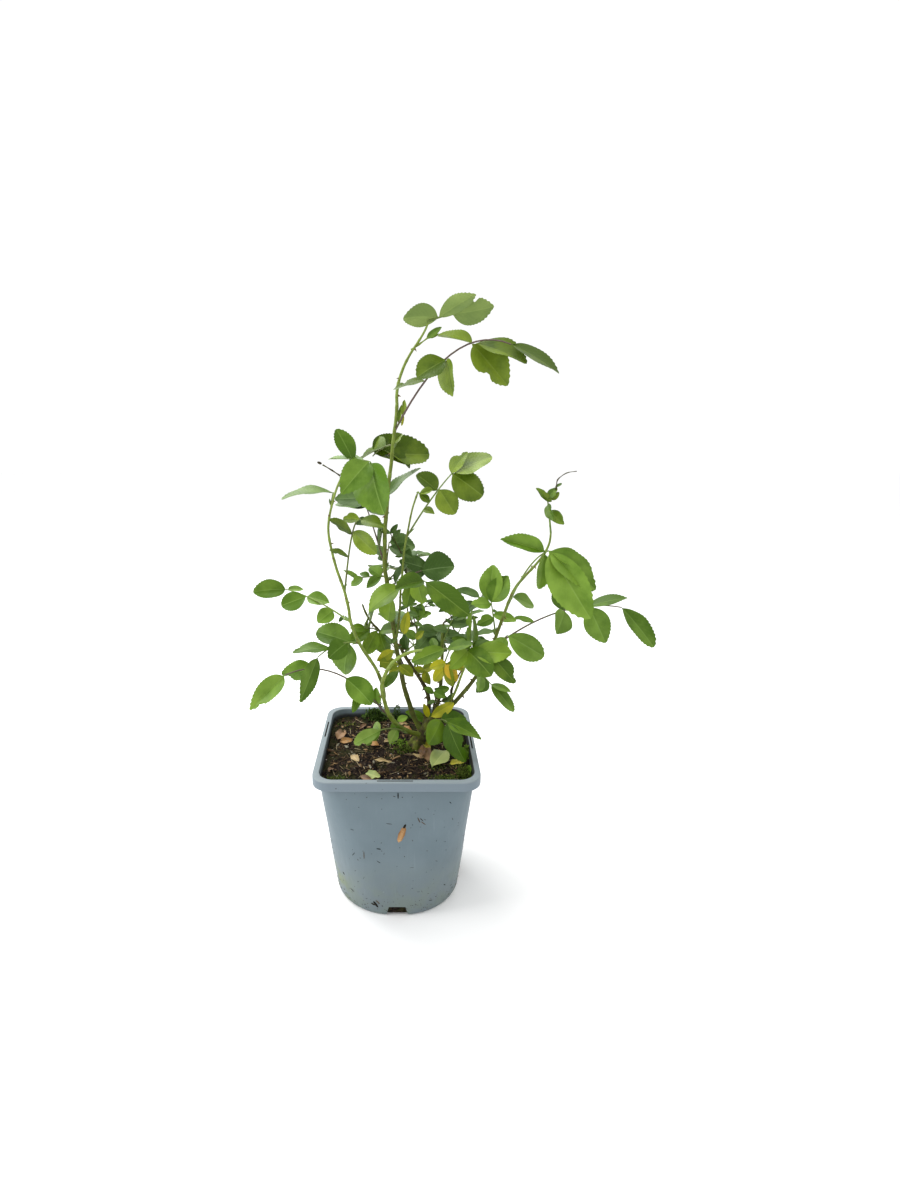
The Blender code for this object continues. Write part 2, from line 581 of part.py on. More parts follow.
def fuse(name, stalk, leaflets, material):
    """One Boolean union on a collection joins the leaflets to their stem."""
    stem = add_object(name, *stalk, material)
    group = bpy.data.collections.new(name + "_leaflets")
    bpy.context.scene.collection.children.link(group)
    for number, solid in enumerate(leaflets):
        leaf = add_object(f"{name}_leaflet_{number}", *solid, material)
        bpy.context.scene.collection.objects.unlink(leaf)
        group.objects.link(leaf)
    union = stem.modifiers.new("union", "BOOLEAN")
    union.operation = "UNION"
    union.operand_type = "COLLECTION"
    union.collection = group
    union.solver = "MANIFOLD"
    mesh = bpy.data.meshes.new_from_object(stem.evaluated_get(bpy.context.evaluated_depsgraph_get()))
    drop_scraps(mesh)
    stem.modifiers.clear()
    stem.data = mesh
    for leaf in list(group.objects):
        bpy.data.objects.remove(leaf, do_unlink=True)
    bpy.data.collections.remove(group)
    return stem


def bowed(start, end, arch, steps):
    """A stem's path from start to end, its middle control point lifted by the arch."""
    middle = (start + end) / 2 + UP * arch
    share = np.linspace(0, 1, steps + 1)[:, None]
    rest = 1 - share
    return rest ** 2 * start + 2 * rest * share * middle + share ** 2 * end


def point_on(path, share):
    """Point at a share of the steps of a path, on its straight pieces."""
    places = np.linspace(0, 1, len(path))
    return np.array([np.interp(share, places, path[:, axis]) for axis in range(3)])


def stem_solid(path, foot, tip, normal):
    radii = np.linspace(foot, tip, len(path)) * MM
    return tube(path, radii, STEM_SIDES, normal)


def make_spray(name, entry, limbs, taken, material):
    """One compound leaf, or a few, whose leaflets are placed one by one."""
    parent, share, tip, arch, plan = entry
    end = np.array(tip, float) * MM
    start, normal = limbs[parent].seat(share, end)
    stem = bowed(start, end, arch * MM, STEM_STEPS)
    solid = stem_solid(stem, STEM_FOOT, STEM_TIP, normal)
    return fuse("leaves_" + name, solid, grow_leaflets(stem, plan, taken, LONG_LEAF), material)


def make_shoot(name, entry, limbs, taken, material):
    """A side shoot that branches by rule: compound leaves on alternate sides."""
    parent, share, heading, rise, length, count, size = entry
    rng = random.Random(f"{SEED} {name}")
    limb = limbs[parent]
    start, normal = limb.seat(share, limb.at(share) + direction(heading, rise))
    end = start + direction(heading, rise) * length * MM
    stem = bowed(start, end, SHOOT_ARCH * length * MM, SHOOT_STEPS)
    pieces = []
    for number in range(count):
        place = 1.0 - number * 0.8 / count
        side = 0 if number == 0 else (1 if number % 2 else -1)
        turn = heading + side * LEAF_SPREAD + rng.uniform(-WANDER, WANDER)
        lift = rise + rng.uniform(-WANDER, WANDER)
        foot = point_on(stem, place)
        reach = direction(turn, lift) * PETIOLE * size * MM
        stalk = np.array([foot, foot + reach])
        solid = stem_solid(stalk, STEM_TIP, STEM_TIP, unit(reach))
        if any(tree_of(*solid).overlap(other) for other in taken):
            continue
        plan = [(1.0, turn, lift - WANDER, size, BROAD, 0)]
        for pair, scale in zip(PAIR_PLACES, PAIR_SIZES):
            for hand in (1, -1):
                swing = turn + hand * LEAF_SPREAD + rng.uniform(-WANDER, WANDER)
                fall = lift - rng.uniform(0, 2 * WANDER)
                plan.append((pair, swing, fall, size * scale, BROAD, rng.uniform(-WANDER, WANDER)))
        pieces += [solid] + grow_leaflets(stalk, plan, taken, SHORT_LEAF)
    solid = stem_solid(stem, STEM_FOOT, STEM_TIP, normal)
    return fuse("leaves_" + name, solid, pieces, material)


def main():
    clear_scene()
    materials = {kind: make_material(kind) for kind in COLOURS}
    make_pot(materials["pot"])
    make_soil(materials["soil"])
    stump, stump_item = make_stump(materials["stump"])
    limbs, cane_items = make_canes(stump, materials["cane"])
    taken = [tree_of_object(item) for item in [stump_item] + cane_items]
    for table, maker in ((SPRAYS, make_spray), (SHOOTS, make_shoot)):
        for name, entry in table.items():
            mass = maker(name, entry, limbs, taken, materials["leaves"])
            taken.append(tree_of_object(mass))


main()
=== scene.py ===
# %% [markdown]
# A rose bush in a square plastic pot.  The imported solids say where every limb
# and every mass of leaves is.  This script dresses them: it grows the same
# plant again by the same rule, with real leaf outlines, veins, thorns and bark,
# and gives the pot, the compost and the litter on it their own surfaces.
# All sizes are in millimetres until a mesh is made, because garden things are
# easiest to think of in millimetres.

# %% Load the frame
import math
import random
from functools import partial

import bpy
import numpy as np
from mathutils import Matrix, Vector
from mathutils.bvhtree import BVHTree


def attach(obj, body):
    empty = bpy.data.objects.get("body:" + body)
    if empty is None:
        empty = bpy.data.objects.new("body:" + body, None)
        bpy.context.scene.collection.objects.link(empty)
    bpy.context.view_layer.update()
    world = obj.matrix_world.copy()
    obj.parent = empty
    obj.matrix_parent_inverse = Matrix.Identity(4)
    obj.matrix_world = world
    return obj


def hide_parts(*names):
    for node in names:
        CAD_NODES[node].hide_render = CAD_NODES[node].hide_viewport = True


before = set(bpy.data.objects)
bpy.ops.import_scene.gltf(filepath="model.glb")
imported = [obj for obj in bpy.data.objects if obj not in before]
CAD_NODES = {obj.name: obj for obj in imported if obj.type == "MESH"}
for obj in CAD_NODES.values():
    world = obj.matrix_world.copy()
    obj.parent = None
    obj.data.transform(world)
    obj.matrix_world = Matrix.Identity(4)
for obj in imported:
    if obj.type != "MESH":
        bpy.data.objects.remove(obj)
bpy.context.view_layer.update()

MM = 0.001
LATTICE = 64                 # heights to a side of the lattice that noise is made from
CANE_NODES = sorted(name for name in CAD_NODES if name.startswith("cane_"))
print(f"{len(CAD_NODES)} solids, {len(CANE_NODES)} of them canes")

# %% [markdown]
# Every piece below is made in the same way: an array of points, a list of
# faces that name those points, and a few values that ride on the points, such
# as a UV place.  One helper turns them into an object.  It leaves the object at
# the origin, with its place in the mesh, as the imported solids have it.

# %% Put points and faces into an object
def add_object(name, data):
    """A new object in the scene, at the origin and unturned."""
    made = bpy.data.objects.new(name, data)
    bpy.context.scene.collection.objects.link(made)
    return made


def make_mesh(name, points, faces):
    """A mesh from points in mm."""
    mesh = bpy.data.meshes.new(name)
    mesh.from_pydata((np.asarray(points) * MM).tolist(), [], faces)
    return mesh


def make_piece(name, points, faces, finishes, stands_for=(), crease=60.0, uv=None, tone=None,
               finish_of=None):
    """An object from points in mm; uv and tone go point by point, the finish face by face."""
    mesh = make_mesh(name, points, faces)
    for finish in finishes:
        mesh.materials.append(finish)
    if uv is not None:
        corner_point = np.empty(len(mesh.loops), np.int32)
        mesh.loops.foreach_get("vertex_index", corner_point)
        layer = mesh.uv_layers.new(name="place")
        layer.data.foreach_set("uv", uv[corner_point].ravel())
    if tone is not None:
        mesh.attributes.new("tone", "FLOAT", "POINT").data.foreach_set("value", tone)
        mesh.polygons.foreach_set("material_index", finish_of)
    mesh.shade_smooth()
    mesh.set_sharp_from_angle(angle=math.radians(crease))
    mesh.validate()
    piece = add_object(name, mesh)
    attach(piece, "root")
    if stands_for:
        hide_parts(*stands_for)
    low, high = np.min(points, axis=0), np.max(points, axis=0)
    print(f"{name}: {len(mesh.polygons)} faces, from {low.round(1)} to {high.round(1)} mm")
    return piece


# %% Small tools for whole arrays
def unit(vectors):
    """Each vector divided by its own length."""
    return vectors / np.linalg.norm(vectors, axis=-1, keepdims=True)


def grid_faces(rows, columns, wrap=True):
    """Quads between neighbouring points of a grid that is stored row after row."""
    across = columns if wrap else columns - 1
    row, column = np.meshgrid(np.arange(rows - 1), np.arange(across), indexing="ij")
    after = (column + 1) % columns
    corners = (row * columns + column, row * columns + after,
               (row + 1) * columns + after, (row + 1) * columns + column)
    return np.stack(corners, axis=-1).reshape(-1, 4)


def fan_faces(ring, middle, flip=False):
    """Triangles from a closed ring of point numbers to one middle point."""
    after = np.roll(ring, -1)
    pair = (after, ring) if flip else (ring, after)
    return np.stack((*pair, np.full(len(ring), middle)), axis=-1)


def closed_faces(rows, columns):
    """Faces of a tube whose two ends are closed by one more point each, first row's first."""
    ring, count = np.arange(columns), rows * columns
    return (grid_faces(rows, columns).tolist() + fan_faces(ring, count, flip=True).tolist()
            + fan_faces(ring + count - columns, count + 1).tolist())


def lengths_along(path):
    """The length from a path's first point to each of its points."""
    return np.concatenate([[0], np.cumsum(np.linalg.norm(np.diff(path, axis=0), axis=1))])


def lumps(x, y, pitch, seed):
    """Smooth noise from -1 to 1: random heights on a square lattice, blended between its corners."""
    lattice = np.random.default_rng(seed).uniform(-1, 1, (LATTICE, LATTICE))
    across, along = np.asarray(x) / pitch, np.asarray(y) / pitch
    column, row = np.floor(across).astype(int), np.floor(along).astype(int)
    s, t = across - column, along - row
    s, t = s * s * (3 - 2 * s), t * t * (3 - 2 * t)
    left, right = column % LATTICE, (column + 1) % LATTICE
    near, far = (lattice[line % LATTICE, left] * (1 - s) + lattice[line % LATTICE, right] * s
                 for line in (row, row + 1))
    return near * (1 - t) + far * t


print("flat array tools are ready")

# %% [markdown]
# Real surfaces are never one flat colour, so each finish mixes two or more
# colours by masks.  The masks that several finishes share are node groups with
# named sockets: soft blotches, small specks, and the veins of a leaf.  A group
# gives out only a mask or a height, and the shader itself stays in the material.

# %% Helpers that write shader nodes
def add_node(tree, kind, feeds=None, **settings):
    """A shader node of a kind, whose inputs take a number, a colour or another node's output."""
    made = tree.nodes.new("ShaderNode" + kind)
    for key, value in settings.items():
        setattr(made, key, value)
    for socket, value in (feeds or {}).items():
        if isinstance(value, bpy.types.NodeSocket):
            tree.links.new(value, made.inputs[socket])
        else:
            made.inputs[socket].default_value = value
    return made


def sums(tree, operation, *values, clamp=False):
    """The output of one Math node."""
    return add_node(tree, "Math", dict(enumerate(values)), operation=operation, use_clamp=clamp).outputs[0]


def times(tree, first, *others):
    """The product of masks and numbers."""
    for other in others:
        first = sums(tree, "MULTIPLY", first, other)
    return first


def ramp(tree, value, low, high, out_low=0.0, out_high=1.0):
    """Smooth step of a value from low to high."""
    feeds = {"Value": value, "From Min": low, "From Max": high, "To Min": out_low, "To Max": out_high}
    return add_node(tree, "MapRange", feeds, interpolation_type="SMOOTHSTEP").outputs["Result"]


def noise(tree, place, scale, detail=2.0):
    """Smooth noise from 0 to 1."""
    return add_node(tree, "TexNoise", {"Vector": place, "Scale": scale, "Detail": detail}).outputs[0]


def object_place(tree):
    """The place in the object, in metres."""
    return tree.nodes.new("ShaderNodeTexCoord").outputs["Object"]


def uv_place(tree):
    """The place that a piece's own UV map gives."""
    return add_node(tree, "UVMap", uv_map="place").outputs[0]


def parts_of(tree, vector):
    """The x, y and z of a vector."""
    return add_node(tree, "SeparateXYZ", {0: vector}).outputs


def vector_of(tree, *parts):
    """A vector from its x, y and z; a part left out is 0."""
    return add_node(tree, "CombineXYZ", dict(enumerate(parts))).outputs[0]


def blend(tree, mask, first, second):
    """First colour where the mask is 0, second where it is 1."""
    first, second = ((*paint, 1.0) if isinstance(paint, tuple) else paint for paint in (first, second))
    return add_node(tree, "Mix", {0: mask, 6: first, 7: second}, data_type="RGBA").outputs[2]


def coats(tree, colour, *layers):
    """Coats of paint over a colour: each is a paint, then the masks whose product says where it lies."""
    for paint, *masks in layers:
        colour = blend(tree, times(tree, *masks), colour, paint)
    return colour


def new_group(name, outputs, **inputs):
    """An empty node group with float sockets, and its inner ends."""
    group = bpy.data.node_groups.new(name, "ShaderNodeTree")
    for label, value in inputs.items():
        socket = group.interface.new_socket(label, in_out="INPUT", socket_type="NodeSocketFloat")
        socket.default_value = value
    for label in outputs:
        group.interface.new_socket(label, in_out="OUTPUT", socket_type="NodeSocketFloat")
    return group, group.nodes.new("NodeGroupInput").outputs, group.nodes.new("NodeGroupOutput").inputs


def use_group(tree, group, **values):
    """Places a node group in a material with its own values."""
    return add_node(tree, "Group", values, node_tree=group).outputs


def new_finish(name, roughness=0.5, **constants):
    """A material and its node tree; constants go straight on the shader's own sockets."""
    material = bpy.data.materials.new(name)
    material.use_nodes = True
    sockets = material.node_tree.nodes["Principled BSDF"].inputs
    sockets["Roughness"].default_value = roughness
    for label, value in constants.items():
        sockets[label.replace("_", " ")].default_value = value
    return material, material.node_tree


def painted(material, colour, bump=None, roughness=None):
    """The material with its colour fed and, where given, its bump (height, strength, distance) and
    its roughness."""
    tree = material.node_tree
    sockets = tree.nodes["Principled BSDF"].inputs
    tree.links.new(colour, sockets["Base Color"])
    if bump is not None:
        relief = add_node(tree, "Bump", dict(zip(("Height", "Strength", "Distance"), bump)))
        tree.links.new(relief.outputs[0], sockets["Normal"])
    if roughness is not None:
        tree.links.new(roughness, sockets["Roughness"])
    return material


# %% Shared masks: blotches and specks
def make_blotches():
    """Noise in object space from 0 to 1; Size is the width of a blotch in metres."""
    group, given, made = new_group("blotches", ["Mask"], Size=0.01, Contrast=0.5)
    cloud = noise(group, object_place(group), sums(group, "DIVIDE", 1.0, given["Size"]), 4.0)
    low = times(group, given["Contrast"], 0.5)
    high = sums(group, "SUBTRACT", 1.0, low)
    group.links.new(ramp(group, cloud, low, high), made["Mask"])
    return group


def make_specks():
    """Small spots: cells of a Voronoi pattern, of which a share are filled near their centre.
    Stretch under 1 draws them out upwards into strokes."""
    group, given, made = new_group("specks", ["Mask"], Pitch=0.01, Radius=0.15, Share=0.2, Stretch=1.0)
    place = object_place(group)
    x, y, z = parts_of(group, place)
    stretched = vector_of(group, x, y, times(group, z, given["Stretch"]))
    scale = sums(group, "DIVIDE", 1.0, given["Pitch"])
    cells = add_node(group, "TexVoronoi", {"Vector": stretched, "Scale": scale}).outputs
    wobble = times(group, sums(group, "SUBTRACT", noise(group, place, 900.0), 0.5), 0.15)
    inside = sums(group, "LESS_THAN", sums(group, "ADD", cells["Distance"], wobble), given["Radius"])
    lot = add_node(group, "SeparateColor", {0: cells["Color"]}).outputs[0]
    chosen = sums(group, "LESS_THAN", lot, given["Share"])
    group.links.new(times(group, inside, chosen), made["Mask"])
    return group


BLOTCHES = make_blotches()
SPECKS = make_specks()


def blotches(tree, size, contrast):
    return use_group(tree, BLOTCHES, Size=size, Contrast=contrast)["Mask"]


def specks(tree, pitch, radius, share, stretch=1.0):
    return use_group(tree, SPECKS, Pitch=pitch, Radius=radius, Share=share, Stretch=stretch)["Mask"]


def tone_of(tree):
    """The value that rides on the points."""
    return add_node(tree, "Attribute", attribute_name="tone").outputs["Fac"]


print("shared masks:", BLOTCHES.name, SPECKS.name)

# %% [markdown]
# The floor is one large pale sheet and the light is that of a bright, even
# studio: a pale world all round that makes floor and background one white, a
# broad soft panel behind and above, which gives the leaves their sheen, and a
# weaker one high on the left, which throws the soft shadow to the right.  The
# camera stands a little above the plant's middle and looks down on it with a
# wide lens, close to the plant.

# %% Floor, light and camera
LENS = 19.23
SENSOR = 36.0
CAMERA_PLACE = (0.0122, -0.7491, 0.6143)
CAMERA_PITCH = 16.42         # degrees that the camera looks down
CAMERA_SHIFT = 0.036         # the frame lies a little to the right of the lens's axis
FLOOR_HALF = 6000.0
LIGHT_TARGET = (0.0, 0.0, 0.35)
SKY_STRENGTH = 1.04
# name: place, side in metres, power in watts
PANELS = {"back_panel": ((-0.7, 0.8, 1.9), 1.5, 34), "left_panel": ((-1.7, -0.3, 1.3), 0.8, 16)}


def make_floor():
    """A square sheet just under the pot."""
    corners = FLOOR_HALF * np.array([(-1, -1, 0), (1, -1, 0), (1, 1, 0), (-1, 1, 0)])
    mesh = make_mesh("floor", corners, [(0, 1, 2, 3)])
    paint, tree = new_finish("pale_floor", roughness=0.9)
    colour = blend(tree, blotches(tree, 0.8, 0.2), (0.96, 0.96, 0.96), (0.98, 0.98, 0.98))
    mesh.materials.append(painted(paint, colour))
    add_object("floor", mesh)


def add_panel(name, place, size, power):
    """A square area light that faces the target."""
    lamp = bpy.data.lights.new(name, "AREA")
    lamp.size = size
    lamp.energy = power
    holder = add_object(name, lamp)
    holder.location = place
    holder.rotation_euler = (Vector(LIGHT_TARGET) - Vector(place)).to_track_quat("-Z", "Y").to_euler()


def make_camera():
    """A camera that faces +Y, tilted down, with its frame shifted a little to the right."""
    lens = bpy.data.cameras.new("camera")
    lens.lens, lens.sensor_width, lens.shift_x = LENS, SENSOR, CAMERA_SHIFT
    camera = add_object("camera", lens)
    camera.location = CAMERA_PLACE
    camera.rotation_euler = (math.radians(90 - CAMERA_PITCH), 0, 0)
    bpy.context.scene.camera = camera


def make_sky():
    """The even pale light of the room."""
    world = bpy.data.worlds.new("studio")
    world.use_nodes = True
    back = world.node_tree.nodes["Background"]
    back.inputs["Color"].default_value = (1.0, 1.0, 1.0, 1.0)
    back.inputs["Strength"].default_value = SKY_STRENGTH
    bpy.context.scene.world = world


make_floor()
make_sky()
for panel, values in PANELS.items():
    add_panel(panel, *values)
make_camera()
bpy.context.scene.view_settings.view_transform = "Standard"
print("camera at", CAMERA_PLACE, "lens", LENS, "mm")

# %% [markdown]
# The pot is one thin moulding: a square with round corners at the rim that
# turns almost round at the foot.  It could be a cube pushed into shape by
# modifiers, but a rounded square is easy to write down: every point is the
# centre of its corner arc plus the corner radius in the outward direction.  A
# list of levels (half side, corner radius, height) then carries that section
# from the foot, up the wall, over the lip and down inside.

# %% Sizes of the pot
POT_HEIGHT = 203.0
RIM_HALF, RIM_CORNER = 100.0, 22.0
LIP_DEEP, LIP_THICK = 12.0, 1.6
WALL = 1.8
BODY_HALF, BODY_CORNER = 94.0, 20.0
BASE_HALF, BASE_CORNER = 82.0, 76.0
BASE_EDGE = 4.0
FLOOR_THICK = 3.0
UNDERSIDE = 1.4              # height of the raised middle of the underside
LIP_TOP_ROUND, LIP_FOOT_ROUND, INNER_ROUND = 1.2, 0.8, 1.0
LIP_HOLLOW = 3.2             # how far under the rim the gap behind the lip ends
ARC_POINTS, SIDE_POINTS = 14, 22
WALL_WAVE = 0.5              # how far the thin wall wanders in and out


def ring_pattern():
    """For each point of a rounded square: its arc's centre in units of (half - corner), which
    slides from corner to corner along a side, and its outward direction."""
    turn = np.arange(4) * math.pi / 2
    corner = math.sqrt(2) * np.stack([np.cos(turn + math.pi / 4), np.sin(turn + math.pi / 4)], axis=-1)
    angle = turn[:, None] + np.linspace(0, math.pi / 2, ARC_POINTS)
    arc_out = np.stack([np.cos(angle), np.sin(angle)], axis=-1)
    arc_centre = np.broadcast_to(corner[:, None], arc_out.shape)
    share = np.linspace(0, 1, SIDE_POINTS + 2)[1:-1, None]
    side_centre = corner[:, None] * (1 - share) + np.roll(corner, -1, axis=0)[:, None] * share
    side_out = np.broadcast_to(arc_out[:, -1:], side_centre.shape)
    centre = np.concatenate([arc_centre, side_centre], axis=1).reshape(-1, 2)
    return centre, np.concatenate([arc_out, side_out], axis=1).reshape(-1, 2)


RING_CENTRE, RING_OUT = ring_pattern()
RING_COUNT = len(RING_OUT)
print(RING_COUNT, "points round the pot")


def square_levels(levels):
    """Points of (half, corner, height) levels as an array of rows, ring points and x, y, z."""
    half, corner, height = np.array(levels).T[:, :, None, None]
    flat = (half - corner) * RING_CENTRE + corner * RING_OUT
    return np.concatenate([flat, np.broadcast_to(height, flat.shape[:2] + (1,))], axis=-1)


def body_level(height, inset=0.0):
    """The tapering body: half side and corner radius change evenly from foot to rim."""
    share = height / POT_HEIGHT
    half = BASE_HALF + (BODY_HALF - BASE_HALF) * share
    corner = BASE_CORNER + (BODY_CORNER - BASE_CORNER) * share
    return half - inset, corner - inset, height


def rounded(half, corner, height, radius, start, end, steps=5):
    """Levels round a small edge: a quarter turn of the profile, its angles in degrees from +x."""
    return [(half + radius * math.cos(math.radians(a)), corner + radius * math.cos(math.radians(a)),
             height + radius * math.sin(math.radians(a))) for a in np.linspace(start, end, steps)]


def pot_levels():
    """The whole profile, from the middle of the underside to the middle of the inner floor."""
    foot_half, foot_corner, _ = body_level(BASE_EDGE, BASE_EDGE)
    lip_foot = POT_HEIGHT - LIP_DEEP
    levels = [(56.0, 50.0, UNDERSIDE), (60.0, 54.0, UNDERSIDE), (61.5, 55.5, 0.0)]
    levels += rounded(foot_half, foot_corner, BASE_EDGE, BASE_EDGE, -90, 0)
    levels += [body_level(height) for height in np.linspace(8, POT_HEIGHT - 4.5, 46)]
    levels += [(RIM_HALF - LIP_THICK, RIM_CORNER - LIP_THICK, height)
               for height in (POT_HEIGHT - LIP_HOLLOW, lip_foot + 0.5)]
    levels += rounded(RIM_HALF - LIP_FOOT_ROUND, RIM_CORNER - LIP_FOOT_ROUND,
                      lip_foot + LIP_FOOT_ROUND, LIP_FOOT_ROUND, -150, 0)
    levels += [(RIM_HALF, RIM_CORNER, height) for height in (194.0, 197.0, 200.0)]
    levels += rounded(RIM_HALF - LIP_TOP_ROUND, RIM_CORNER - LIP_TOP_ROUND,
                      POT_HEIGHT - LIP_TOP_ROUND, LIP_TOP_ROUND, 0, 90)
    inner_half, inner_corner, _ = body_level(POT_HEIGHT, WALL - INNER_ROUND)
    levels += rounded(inner_half, inner_corner, POT_HEIGHT - INNER_ROUND, INNER_ROUND, 90, 180)
    levels += [body_level(height, WALL) for height in np.linspace(POT_HEIGHT - 4, 20, 24)]
    levels += [body_level(FLOOR_THICK, WALL + 2.0)]
    return levels


# %% Finish of the pot
def make_pot_finish():
    """Weathered blue-grey plastic, painted in coats from the wall's soft clouds to its stains, and last
    painted shade on the inner wall.
    """
    material, tree = new_finish("pot_plastic", roughness=0.5, Specular_IOR_Level=0.4)
    place = object_place(tree)
    side, depth, height = parts_of(tree, place)
    stretched = add_node(tree, "Mapping", {0: place, "Scale": (260.0, 260.0, 22.0)}).outputs[0]
    wear = noise(tree, stretched, 1.0, 3.0)
    film, grit = blotches(tree, 0.022, 0.8), specks(tree, 0.0042, 0.16, 0.35)
    normal = tree.nodes.new("ShaderNodeNewGeometry").outputs["Normal"]
    outward = add_node(tree, "VectorMath", {0: vector_of(tree, side, depth), 1: normal},
                       operation="DOT_PRODUCT").outputs[1]
    inner = sums(tree, "LESS_THAN", outward, -0.02)
    by_height = partial(ramp, tree, height)
    # where the inner wall goes near black: painted shade in the gap above the compost, and all of its right
    # side
    inner_darkened = sums(tree, "MAXIMUM", by_height(0.199, 0.193), ramp(tree, side, 0.055, 0.08))
    plastic = blend(tree, blotches(tree, 0.05, 0.45), (0.106, 0.15, 0.174), (0.128, 0.176, 0.202))
    colour = coats(
        tree, plastic,
        # faded foot, upright wear, lip and the rim's upper edge
        ((0.142, 0.176, 0.184), by_height(0.12, 0.01, 0.0, 0.75)),
        ((0.23, 0.28, 0.31), ramp(tree, wear, 0.56, 0.8, 0.0, 0.14)),
        ((0.15, 0.194, 0.226), by_height(0.19, 0.1915)),
        ((0.215, 0.255, 0.27), by_height(0.201, 0.2026, 0.0, 0.8)),
        # green film low down, more of it on the left
        ((0.16, 0.205, 0.125), film, by_height(0.09, 0.015, 0.0, 0.24)),
        ((0.13, 0.17, 0.055), film, 0.8, ramp(tree, side, -0.052, -0.078), by_height(0.075, 0.03)),
        # grit at the foot, dark flecks, pale flecks low down; the inner wall near black down its right side,
        # and painted shade on it in the gap above the compost
        ((0.04, 0.04, 0.026), grit, by_height(0.05, 0.0, 0.03, 0.9)),
        ((0.04, 0.045, 0.05), specks(tree, 0.009, 0.09, 0.34), 0.75),
        ((0.38, 0.42, 0.42), specks(tree, 0.0085, 0.07, 0.22), by_height(0.07, 0.01, 0.0, 0.6)),
        ((0.012, 0.011, 0.009), inner, inner_darkened, 0.92))
    grain = sums(tree, "ADD", noise(tree, place, 700.0), times(tree, grit, 2.0))
    return painted(material, colour, (grain, 0.1, 0.0004), ramp(tree, wear, 0.2, 0.8, 0.44, 0.6))


# %% Joining many small shapes
class Pile:
    """Points, faces and point values of many small shapes, kept together as they come."""

    def __init__(self):
        self.points, self.faces, self.uv, self.finish, self.tone = [], [], [], [], []
        self.count = 0

    def add(self, points, faces, uv=None, finish=0, tone=0.5):
        """Adds one shape; faces are lists of its own point numbers, finish and tone one or many."""
        self.points.append(points)
        self.faces += [[corner + self.count for corner in face] for face in faces]
        self.uv.append(np.zeros((len(points), 2)) if uv is None else uv)
        self.finish += np.broadcast_to(finish, len(faces)).tolist()
        self.tone.append(np.broadcast_to(tone, len(points)))
        self.count += len(points)

    def piece(self, name, finishes, slot, stands_for=(), crease=60.0):
        return make_piece(name, np.concatenate(self.points), self.faces, finishes, stands_for,
                          crease, np.concatenate(self.uv), np.concatenate(self.tone), self.finish)


# %% Shape of the pot
def block(centre, size):
    """Corner points and faces of a box: the cutting shape for a slot."""
    corner = np.array([(x, y, z) for z in (-0.5, 0.5) for y in (-0.5, 0.5) for x in (-0.5, 0.5)])
    faces = [(0, 2, 3, 1), (4, 5, 7, 6), (0, 1, 5, 4), (2, 6, 7, 3), (0, 4, 6, 2), (1, 3, 7, 5)]
    return np.array(centre) + corner * np.array(size), faces


def turn_quarter(points, quarters):
    """Points turned about the vertical axis by whole quarter turns: x + iy times a power of i."""
    flat = (points[:, 0] + 1j * points[:, 1]) * 1j ** quarters
    return np.stack([flat.real, flat.imag, points[:, 2]], axis=-1)


DRAIN_WIDE, DRAIN_HIGH, DRAIN_LEAN, CUT_DEEP = 28.0, 14.0, 3.5, 24.0
RIM_SLIT = (42.0, 2.0, 9.0)          # the slot in the rim of each side
SLIT_MIDDLE = -95.6                  # how far each slot lies out from the middle of the pot
SLIT_SHIFTS = (-1.5, 0.0, 0.0, -31.0)   # how far each slot lies from the middle of its side
PART_LINE = (0.9, 1.2, 6.0)          # a short notch under the front lip
PART_LINE_AT = (1.5, -BODY_HALF + 1.0, POT_HEIGHT - LIP_DEEP - 8.0)


def pot_cutters():
    """Four drain slots at the foot, narrower at their top, four slits in the rim, one notch."""
    cuts = Pile()
    for quarter in range(4):
        drain, sides = block((0, -BASE_HALF, 0), (DRAIN_WIDE, CUT_DEEP, 2 * DRAIN_HIGH))
        drain[:, 0] -= np.sign(drain[:, 0]) * DRAIN_LEAN * np.sign(drain[:, 2])
        cuts.add(turn_quarter(drain, quarter), sides)
        slit, sides = block((SLIT_SHIFTS[quarter], SLIT_MIDDLE, POT_HEIGHT), RIM_SLIT)
        cuts.add(turn_quarter(slit, quarter), sides)
    cuts.add(*block(PART_LINE_AT, PART_LINE))
    return add_object("pot_cutters", make_mesh("pot_cutters", np.concatenate(cuts.points), cuts.faces))


def cut_away(piece, cutter):
    """Cuts one object out of another for good, and removes the cutter."""
    cut = piece.modifiers.new("cut", "BOOLEAN")
    cut.operation, cut.object, cut.solver = "DIFFERENCE", cutter, "EXACT"
    shaped = bpy.data.meshes.new_from_object(piece.evaluated_get(bpy.context.evaluated_depsgraph_get()))
    piece.modifiers.clear()
    piece.data = shaped
    bpy.data.objects.remove(cutter, do_unlink=True)
    shaped.shade_smooth()
    shaped.set_sharp_from_angle(angle=math.radians(40))


def make_pot():
    rows = square_levels(pot_levels())
    height = rows[..., 2]
    place = np.arange(RING_COUNT) * 4.0
    wave = WALL_WAVE * lumps(place[None], height, 55.0, 3)
    inside_body = np.clip((POT_HEIGHT - 8 - height) / 20, 0, 1) * np.clip((height - 5) / 20, 0, 1)
    rows[..., :2] += RING_OUT * (wave * inside_body)[..., None]
    points = np.concatenate([rows.reshape(-1, 3), [(0, 0, UNDERSIDE), (0, 0, FLOOR_THICK)]])
    faces = closed_faces(len(rows), RING_COUNT)
    pot = make_piece("pot_shell", points, faces, [make_pot_finish()], ["pot"], crease=40)
    cut_away(pot, pot_cutters())
    print("pot with its slots cut:", len(pot.data.polygons), "faces")


make_pot()

# %% [markdown]
# The compost is a dark, crumbly bed a finger's width under the rim.  Its body is
# the same rounded square as the pot's inside, closed at the bottom, and its top
# is drawn in to the middle row by row.  The crumbs are heights from noise at
# four sizes.  On it lie bark chips and fibres: a flake of eight faces and a
# thin strand, each repeated by seeded chance and joined into one mesh a kind.

